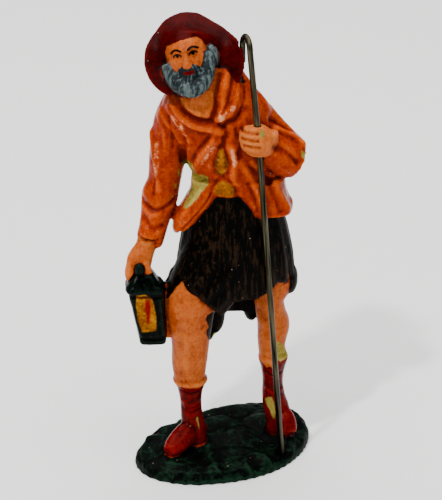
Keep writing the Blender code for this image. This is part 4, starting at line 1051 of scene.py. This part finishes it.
def painted_casting(look):
    """Plaster composition, cast, brushed with glossy oil colour and worn to its cream body at the chips.

    The eye sees deep colours with painted shade in the creases and painted highlights on the ridges,
    soft at their borders, streaked and pitted.
    """
    made, tree = new_material("painted plaster composition")
    spot = add(tree, "TexCoord").outputs["Object"]
    fine = add(tree, "TexNoise", {"Vector": spot, "Scale": FINE, "Detail": 4.0, "Roughness": 0.6})
    broad = add(tree, "TexNoise", {"Vector": spot, "Scale": BROAD, "Detail": 3.0})
    # a range's inputs: 0 is what it takes, which runs from 1 to 2 and is made to run from 3 to 4
    stray = add(tree, "MapRange", {0: broad, 1: 0.3, 2: 0.7, 3: -1.0, 4: 1.0})
    # painted glints on the coat: pale highlights in fine slanting streaks, in patches
    drawn = add(tree, "Mapping", {"Vector": spot, "Rotation": GLINT_SLANT, "Scale": GLINT_DRAWN})
    rub = add(tree, "TexNoise", {"Vector": drawn, "Scale": GLINT_STREAKS, "Detail": 2.0, "Distortion": 0.6})
    rub = add(tree, "MapRange", {0: rub, 1: 0.58, 2: 0.68, 4: 0.9})
    patchy = add(tree, "MapRange", {0: broad, 1: 0.48, 2: 0.62})
    rub = add(tree, "Math", {0: rub, 1: patchy}, operation="MULTIPLY")
    (dark, light), manner = COAT_PAINT
    light = add(tree, "Mix", {0: rub, 6: linear(light), 7: linear(COAT_GLINTS)}, data_type="RGBA").outputs[2]
    layers = [linear(dark), (*look.coat, 1.0), light, (*manner, 1.0)]
    for name, (dark, body, light), manner, soft, wander in PAINTS:
        body = (*getattr(look, name), 1.0) if body is None else linear(body)
        margin = add(tree, "Attribute", attribute_name=PAINT + name).outputs["Fac"]
        moved = add(tree, "Math", {0: stray, 1: wander, 2: margin}, operation="MULTIPLY_ADD")
        mask = add(tree, "MapRange", {0: moved, 1: soft, 2: -soft, 3: 0.0, 4: 1.0})
        layers = [
            add(tree, "Mix", {0: mask, 6: below, 7: value}, data_type="RGBA").outputs[2]
            for below, value in zip(layers, [linear(dark), body, linear(light), (*manner, 1.0)])
        ]
    dark, body, light, manner = layers
    roughness, mottling, streaking = add(tree, "SeparateColor", {0: manner}).outputs
    # the tone runs from 0 in a crease, as painted shade, to 1 on a ridge, as a painted highlight,
    #     # with mottles and brush streaks
    crease = add(tree, "Attribute", attribute_name="crease").outputs["Fac"]
    shade_and_highlight = add(tree, "MapRange", {0: crease, 1: 0.2, 2: -0.2, 3: 0.0, 4: 1.0})
    mottle = add(tree, "Math", {0: fine, 1: broad}, operation="ADD")
    mottle = add(tree, "MapRange", {0: mottle, 1: 0.7, 2: 1.3, 3: -0.5, 4: 0.5})
    tone = add(tree, "Math", {0: mottle, 1: mottling, 2: shade_and_highlight}, operation="MULTIPLY_ADD")
    upright = add(tree, "Mapping", {"Vector": spot, "Scale": BRUSH_DRAWN})
    streak = add(tree, "TexNoise", {"Vector": upright, "Scale": BRUSH, "Detail": 3.0})
    streak = add(tree, "MapRange", {0: streak, 1: 0.45, 2: 0.75, 3: -0.25, 4: 0.9})
    tone = add(tree, "Math", {0: streak, 1: streaking, 2: tone}, operation="MULTIPLY_ADD")
    colour = dark
    for low, high, above in ((0.1, 0.5, body), (0.5, 1.0, light)):
        share = add(tree, "MapRange", {0: tone, 1: low, 2: high})
        colour = add(tree, "Mix", {0: share, 6: colour, 7: above}, data_type="RGBA").outputs[2]
    for scale, share, inner, outer, strength, tint in SPECKS:
        cell = add(tree, "TexVoronoi", {"Vector": spot, "Scale": scale})
        picked = add(tree, "Math", {0: cell.outputs["Color"], 1: share}, operation="LESS_THAN")
        speck = add(tree, "MapRange", {0: cell, 1: inner, 2: outer, 3: strength, 4: 0.0})
        speck = add(tree, "Math", {0: speck, 1: picked}, operation="MULTIPLY")
        colour = add(tree, "Mix", {0: speck, 6: colour, 7: linear(tint)}, data_type="RGBA").outputs[2]
    relief = add(tree, "Math", {0: streak, 1: streaking, 2: fine}, operation="MULTIPLY_ADD")
    bump = add(tree, "Bump", {"Strength": 0.5, "Distance": PAINT_RELIEF * MM, "Height": relief})
    shade(tree, {
        "Base Color": colour, "Roughness": roughness, "Specular IOR Level": PAINT_GLOSS, "Normal": bump,
    })
    return made


def drawn_wire():
    """Drawn steel wire, tarnished olive brown, with bright streaks along it: rubs and painted highlights."""
    made, tree = new_material("tarnished drawn steel wire")
    laid = add(tree, "Attribute", attribute_name="drawn_out").outputs["Vector"]
    drawn = add(tree, "Mapping", {"Vector": laid, "Scale": WIRE_DRAWN})
    streak = add(tree, "TexNoise", {"Vector": drawn, "Scale": WIRE_MARKS, "Detail": 3.0})
    # the bright streaks: rubbed metal and painted highlights along the wire
    bright = add(tree, "MapRange", {0: streak, 1: 0.4, 2: 0.75})
    colour = add(tree, "Mix", {0: bright, 6: linear("#080602"), 7: linear("#5c5742")}, data_type="RGBA")
    shade(tree, {"Base Color": colour.outputs[2], "Metallic": 1.0, "Roughness": 0.38})
    return made


def studio_floor():
    """Smooth pale card: to the eye, an even matt white."""
    made, tree = new_material("pale studio card")
    spot = add(tree, "TexCoord").outputs["Object"]
    mottle = add(tree, "TexNoise", {"Vector": spot, "Scale": CARD_GRAIN})
    colour = add(tree, "Mix", {0: mottle, 6: linear("#f2f2f1"), 7: linear("#fbfbfa")}, data_type="RGBA")
    shade(tree, {"Base Color": colour.outputs[2], "Roughness": 0.8})
    return made


# Settings that a user would change


def paint_property(name, code):
    return bpy.props.FloatVectorProperty(
        name=name, description=name + " paint between its creases and ridges", default=linear(code)[:3],
        min=0.0, max=1.0, subtype="COLOR",
    )


class ShepherdLook(bpy.types.PropertyGroup):
    """Sizes and colours of the figurine's finish"""

    coat: paint_property("Coat", "#8e2400")
    hat: paint_property("Hat", "#360000")
    beard: paint_property("Beard", "#1e2628")
    skin: paint_property("Skin", "#a84c18")
    breeches: paint_property("Breeches", "#020100")
    boots: paint_property("Boots", "#540202")
    lantern: paint_property("Lantern", "#000100")
    ground: paint_property("Ground", "#010402")

    grain: bpy.props.FloatProperty(
        name="Grain", description="Width of the grid that the fine casting is built on", default=0.41 * MM,
        min=0.2 * MM, max=1.0 * MM, subtype="DISTANCE", unit="LENGTH", precision=5,
    )


class ShepherdStudio(bpy.types.PropertyGroup):
    """The stage around the figurine"""

    lens: bpy.props.FloatProperty(
        name="Lens", description="Focal length on a film 36 mm high", default=153.2, min=20.0, unit="CAMERA"
    )
    distance: bpy.props.FloatProperty(
        name="Distance", description="From the camera to the figurine", default=0.5, min=0.1, subtype="DISTANCE",
        unit="LENGTH",
    )
    elevation: bpy.props.FloatProperty(
        name="Elevation", description="How far the camera looks down", default=math.radians(25), subtype="ANGLE",
        unit="ROTATION",
    )


def new_object(name, data):
    """Puts a mesh, a curve, a light or a camera in the scene."""
    made = bpy.data.objects.new(name, data)
    bpy.context.scene.collection.objects.link(made)
    return made


def choose(obj):
    """Selects one object alone and makes it the active one."""
    bpy.ops.object.select_all(action="DESELECT")
    bpy.context.view_layer.objects.active = obj
    obj.select_set(True)


def apply_modifier(obj, kind, **settings):
    modifier = obj.modifiers.new(kind.title(), kind)
    for key, value in settings.items():
        setattr(modifier, key, value)
    choose(obj)
    bpy.ops.object.modifier_apply(modifier=modifier.name)


def soften_back(casting):
    """Rounds off the steps between the forms at the back of the coat, where nothing is carved."""
    group = casting.vertex_groups.new(name="back")
    spots = read_points(casting.data, "co") / MM
    # it sets in over 3 mm, from 0.9 mm behind the middle and from 54 mm up
    _, back, up = (spots / 3).T
    weight = np.clip(back - 0.3, 0, 1) * np.clip(up - 18, 0, 1)
    for k in np.nonzero(weight)[0]:
        group.add([int(k)], weight[k], "REPLACE")
    apply_modifier(casting, "SMOOTH", factor=SMOOTH_SHARE, iterations=BACK_ROUNDS, vertex_group=group.name)
    casting.vertex_groups.clear()


FACE_FIELD = (1.5, 4.4, -4.6, 4.0)  # in the head's frame: how far forward, half width, lowest, highest


def refine_face(mesh):
    """Splits the skin of the face finely enough for its painted strokes."""
    bm = bmesh.new()
    bm.from_mesh(mesh)
    edges = set()
    centres = np.array([face.calc_center_median() for face in bm.faces])
    right, ahead, up = in_head_frame(centres)
    near, half, low, high = FACE_FIELD
    chosen = (ahead > near) & (np.abs(right) < half) & (up > low) & (up < high)
    for face, pick in zip(list(bm.faces), chosen):
        if pick:
            edges.update(face.edges)
    bmesh.ops.subdivide_edges(bm, edges=list(edges), cuts=2, use_grid_fill=True, smooth=0.0)
    bm.to_mesh(mesh)
    bm.free()


def keep_largest(mesh):
    """Removes the specks that fusing leaves inside the skin."""
    bm = bmesh.new()
    bm.from_mesh(mesh)
    loose, islands = set(bm.verts), []
    while loose:
        island, edge = set(), [loose.pop()]
        while edge:
            vert = edge.pop()
            island.add(vert)
            near = {link.other_vert(vert) for link in vert.link_edges} & loose
            loose -= near
            edge.extend(near)
        islands.append(island)
    largest = max(islands, key=len)
    bmesh.ops.delete(bm, geom=[vert for vert in bm.verts if vert not in largest], context="VERTS")
    bm.to_mesh(mesh)
    bm.free()


def cut_flat(mesh):
    """Cuts the casting off level at the table top and closes the cut."""
    bm = bmesh.new()
    bm.from_mesh(mesh)
    geometry = [*bm.verts, *bm.edges, *bm.faces]
    cut = bmesh.ops.bisect_plane(bm, geom=geometry, plane_co=(0, 0, 0), plane_no=(0, 0, 1), clear_inner=True)
    edges = [item for item in cut["geom_cut"] if isinstance(item, bmesh.types.BMEdge)]
    bmesh.ops.triangle_fill(bm, edges=edges, use_beauty=True, normal=(0, 0, -1))
    bm.to_mesh(mesh)
    bm.free()


FOOT_REACH = 0.12 * MM  # all that is lower is brought to the table top


def level_foot(mesh):
    """Brings the foot back to the table top after smoothing."""
    spots = read_points(mesh, "co")
    spots[spots[:, 2] < FOOT_REACH, 2] = 0.0
    mesh.vertices.foreach_set("co", spots.ravel())
    mesh.update()


FEWEST_CUT_FACES = 8  # that the wire's way adds to the skin


class SHEPHERD_OT_casting(bpy.types.Operator):
    """Build the painted casting from its forms"""

    bl_idname = "shepherd.casting"
    bl_label = "Painted casting"

    def execute(self, context):
        look = context.scene.shepherd_look
        trees = {}
        whole = bmesh.new()
        for name, makers in GROUPS:
            bm = bmesh.new()
            for make in makers:
                make(bm)
                make(whole)
            trees[name] = BVHTree.FromBMesh(bm)
            bm.free()
        bmesh.ops.recalc_face_normals(whole, faces=whole.faces)
        mesh = bpy.data.meshes.new("painted_casting")
        whole.to_mesh(mesh)
        whole.free()
        casting = new_object("painted_casting", mesh)
        apply_modifier(casting, "REMESH", mode="VOXEL", voxel_size=look.grain)
        mesh = casting.data
        if not mesh.polygons:
            raise RuntimeError("the casting's forms didn't fuse into one skin")
        keep_largest(mesh)
        cut_flat(mesh)
        before = len(mesh.polygons)
        way = draw_wire("wire_way", WIRE_RADIUS + WIRE_CLEARANCE, WIRE_CLEARANCE)
        apply_modifier(casting, "BOOLEAN", operation="DIFFERENCE", solver="EXACT", object=way)
        bpy.data.objects.remove(way)
        if abs(len(mesh.polygons) - before) < FEWEST_CUT_FACES or len(mesh.polygons) < before / 2:
            raise RuntimeError("the wire's way wasn't cut through the fist and the ground")
        apply_modifier(casting, "SMOOTH", factor=SMOOTH_SHARE, iterations=SKIN_ROUNDS)
        soften_back(casting)
        refine_face(mesh)
        paint_borders(mesh, trees)
        carve(mesh)
        level_foot(mesh)
        paint_patches(mesh)
        paint_face(mesh)
        crease_map(mesh)
        mesh.shade_smooth()
        mesh.materials.append(painted_casting(look))
        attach(casting, "root")
        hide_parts("shepherd")
        return {"FINISHED"}


class SHEPHERD_OT_crook(bpy.types.Operator):
    """Draw the wire crook along its path"""

    bl_idname = "shepherd.crook"
    bl_label = "Wire crook"

    def execute(self, context):
        wire = draw_wire("wire_crook", WIRE_RADIUS)
        if not wire.data.polygons:
            raise RuntimeError("the wire has no skin")
        measure_wire(wire.data)
        wire.data.shade_smooth()
        wire.data.materials.append(drawn_wire())
        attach(wire, "root")
        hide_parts("crook")
        return {"FINISHED"}


TARGET = place(*EYE_MIDDLE)
FILM_HEIGHT = 36.0
FLOOR_WIDTH = 6.0  # metres
SKY_STRENGTH = 0.06
LIGHTS = (
    # name, place in metres, width in metres, watts
    ("softbox", (0.0, 0.2, 1.5), 2.2, 61.0),
    ("key", (-0.34, -0.50, 0.85), 0.05, 7.0),
    ("fill", (0.50, -0.70, 0.35), 0.4, 0.8),
)


class SHEPHERD_OT_stage(bpy.types.Operator):
    """Set the floor, the lights and the camera"""

    bl_idname = "shepherd.stage"
    bl_label = "Stage"

    def execute(self, context):
        if "painted_casting" not in context.scene.objects:
            raise RuntimeError("there is no casting to light; build it first")
        studio = context.scene.shepherd_studio
        bpy.ops.object.select_all(action="DESELECT")
        bpy.ops.mesh.primitive_plane_add(size=FLOOR_WIDTH, location=(0, 0, 0))
        floor = context.object
        floor.name = "studio_floor"
        floor.data.materials.append(studio_floor())
        world = bpy.data.worlds.new("studio")
        context.scene.world = world
        world.use_nodes = True
        backdrop = world.node_tree.nodes["Background"]
        backdrop.inputs["Color"].default_value = linear("#ffffff")
        backdrop.inputs["Strength"].default_value = SKY_STRENGTH
        for name, place_m, width, watts in LIGHTS:
            light = bpy.data.lights.new(name, "AREA")
            light.size = width
            light.energy = watts
            lamp = new_object(name, light)
            lamp.location = place_m
            lamp.rotation_euler = (TARGET - lamp.location).to_track_quat("-Z", "Y").to_euler()
        view = bpy.data.cameras.new("camera")
        view.lens = studio.lens
        view.sensor_fit = "VERTICAL"
        view.sensor_height = FILM_HEIGHT
        camera = new_object("camera", view)
        back = Vector((0, -math.cos(studio.elevation), math.sin(studio.elevation)))
        camera.location = TARGET + back * studio.distance
        camera.rotation_euler = back.to_track_quat("Z", "Y").to_euler()
        context.scene.camera = camera
        return {"FINISHED"}


class SHEPHERD_PT_panel(bpy.types.Panel):
    """Lists the figurine's pieces and settings"""

    bl_label = "Crib shepherd"
    bl_space_type = "VIEW_3D"
    bl_region_type = "UI"
    bl_category = "Shepherd"

    def draw(self, context):
        layout = self.layout
        for settings in (context.scene.shepherd_look, context.scene.shepherd_studio):
            for key in type(settings).__annotations__:
                layout.prop(settings, key)
        for kind in OPERATORS:
            layout.operator(kind.bl_idname)


OPERATORS = (SHEPHERD_OT_casting, SHEPHERD_OT_crook, SHEPHERD_OT_stage)
CLASSES = (ShepherdLook, ShepherdStudio, *OPERATORS, SHEPHERD_PT_panel)


def register():
    for kind in CLASSES:
        bpy.utils.register_class(kind)
    bpy.types.Scene.shepherd_look = bpy.props.PointerProperty(type=ShepherdLook)
    bpy.types.Scene.shepherd_studio = bpy.props.PointerProperty(type=ShepherdStudio)


def unregister():
    del bpy.types.Scene.shepherd_studio
    del bpy.types.Scene.shepherd_look
    for kind in reversed(CLASSES):
        bpy.utils.unregister_class(kind)


def main():
    register()
    bpy.ops.shepherd.casting()
    bpy.ops.shepherd.crook()
    bpy.ops.shepherd.stage()
    bpy.context.view_layer.update()


if __name__ == "__main__":
    main()
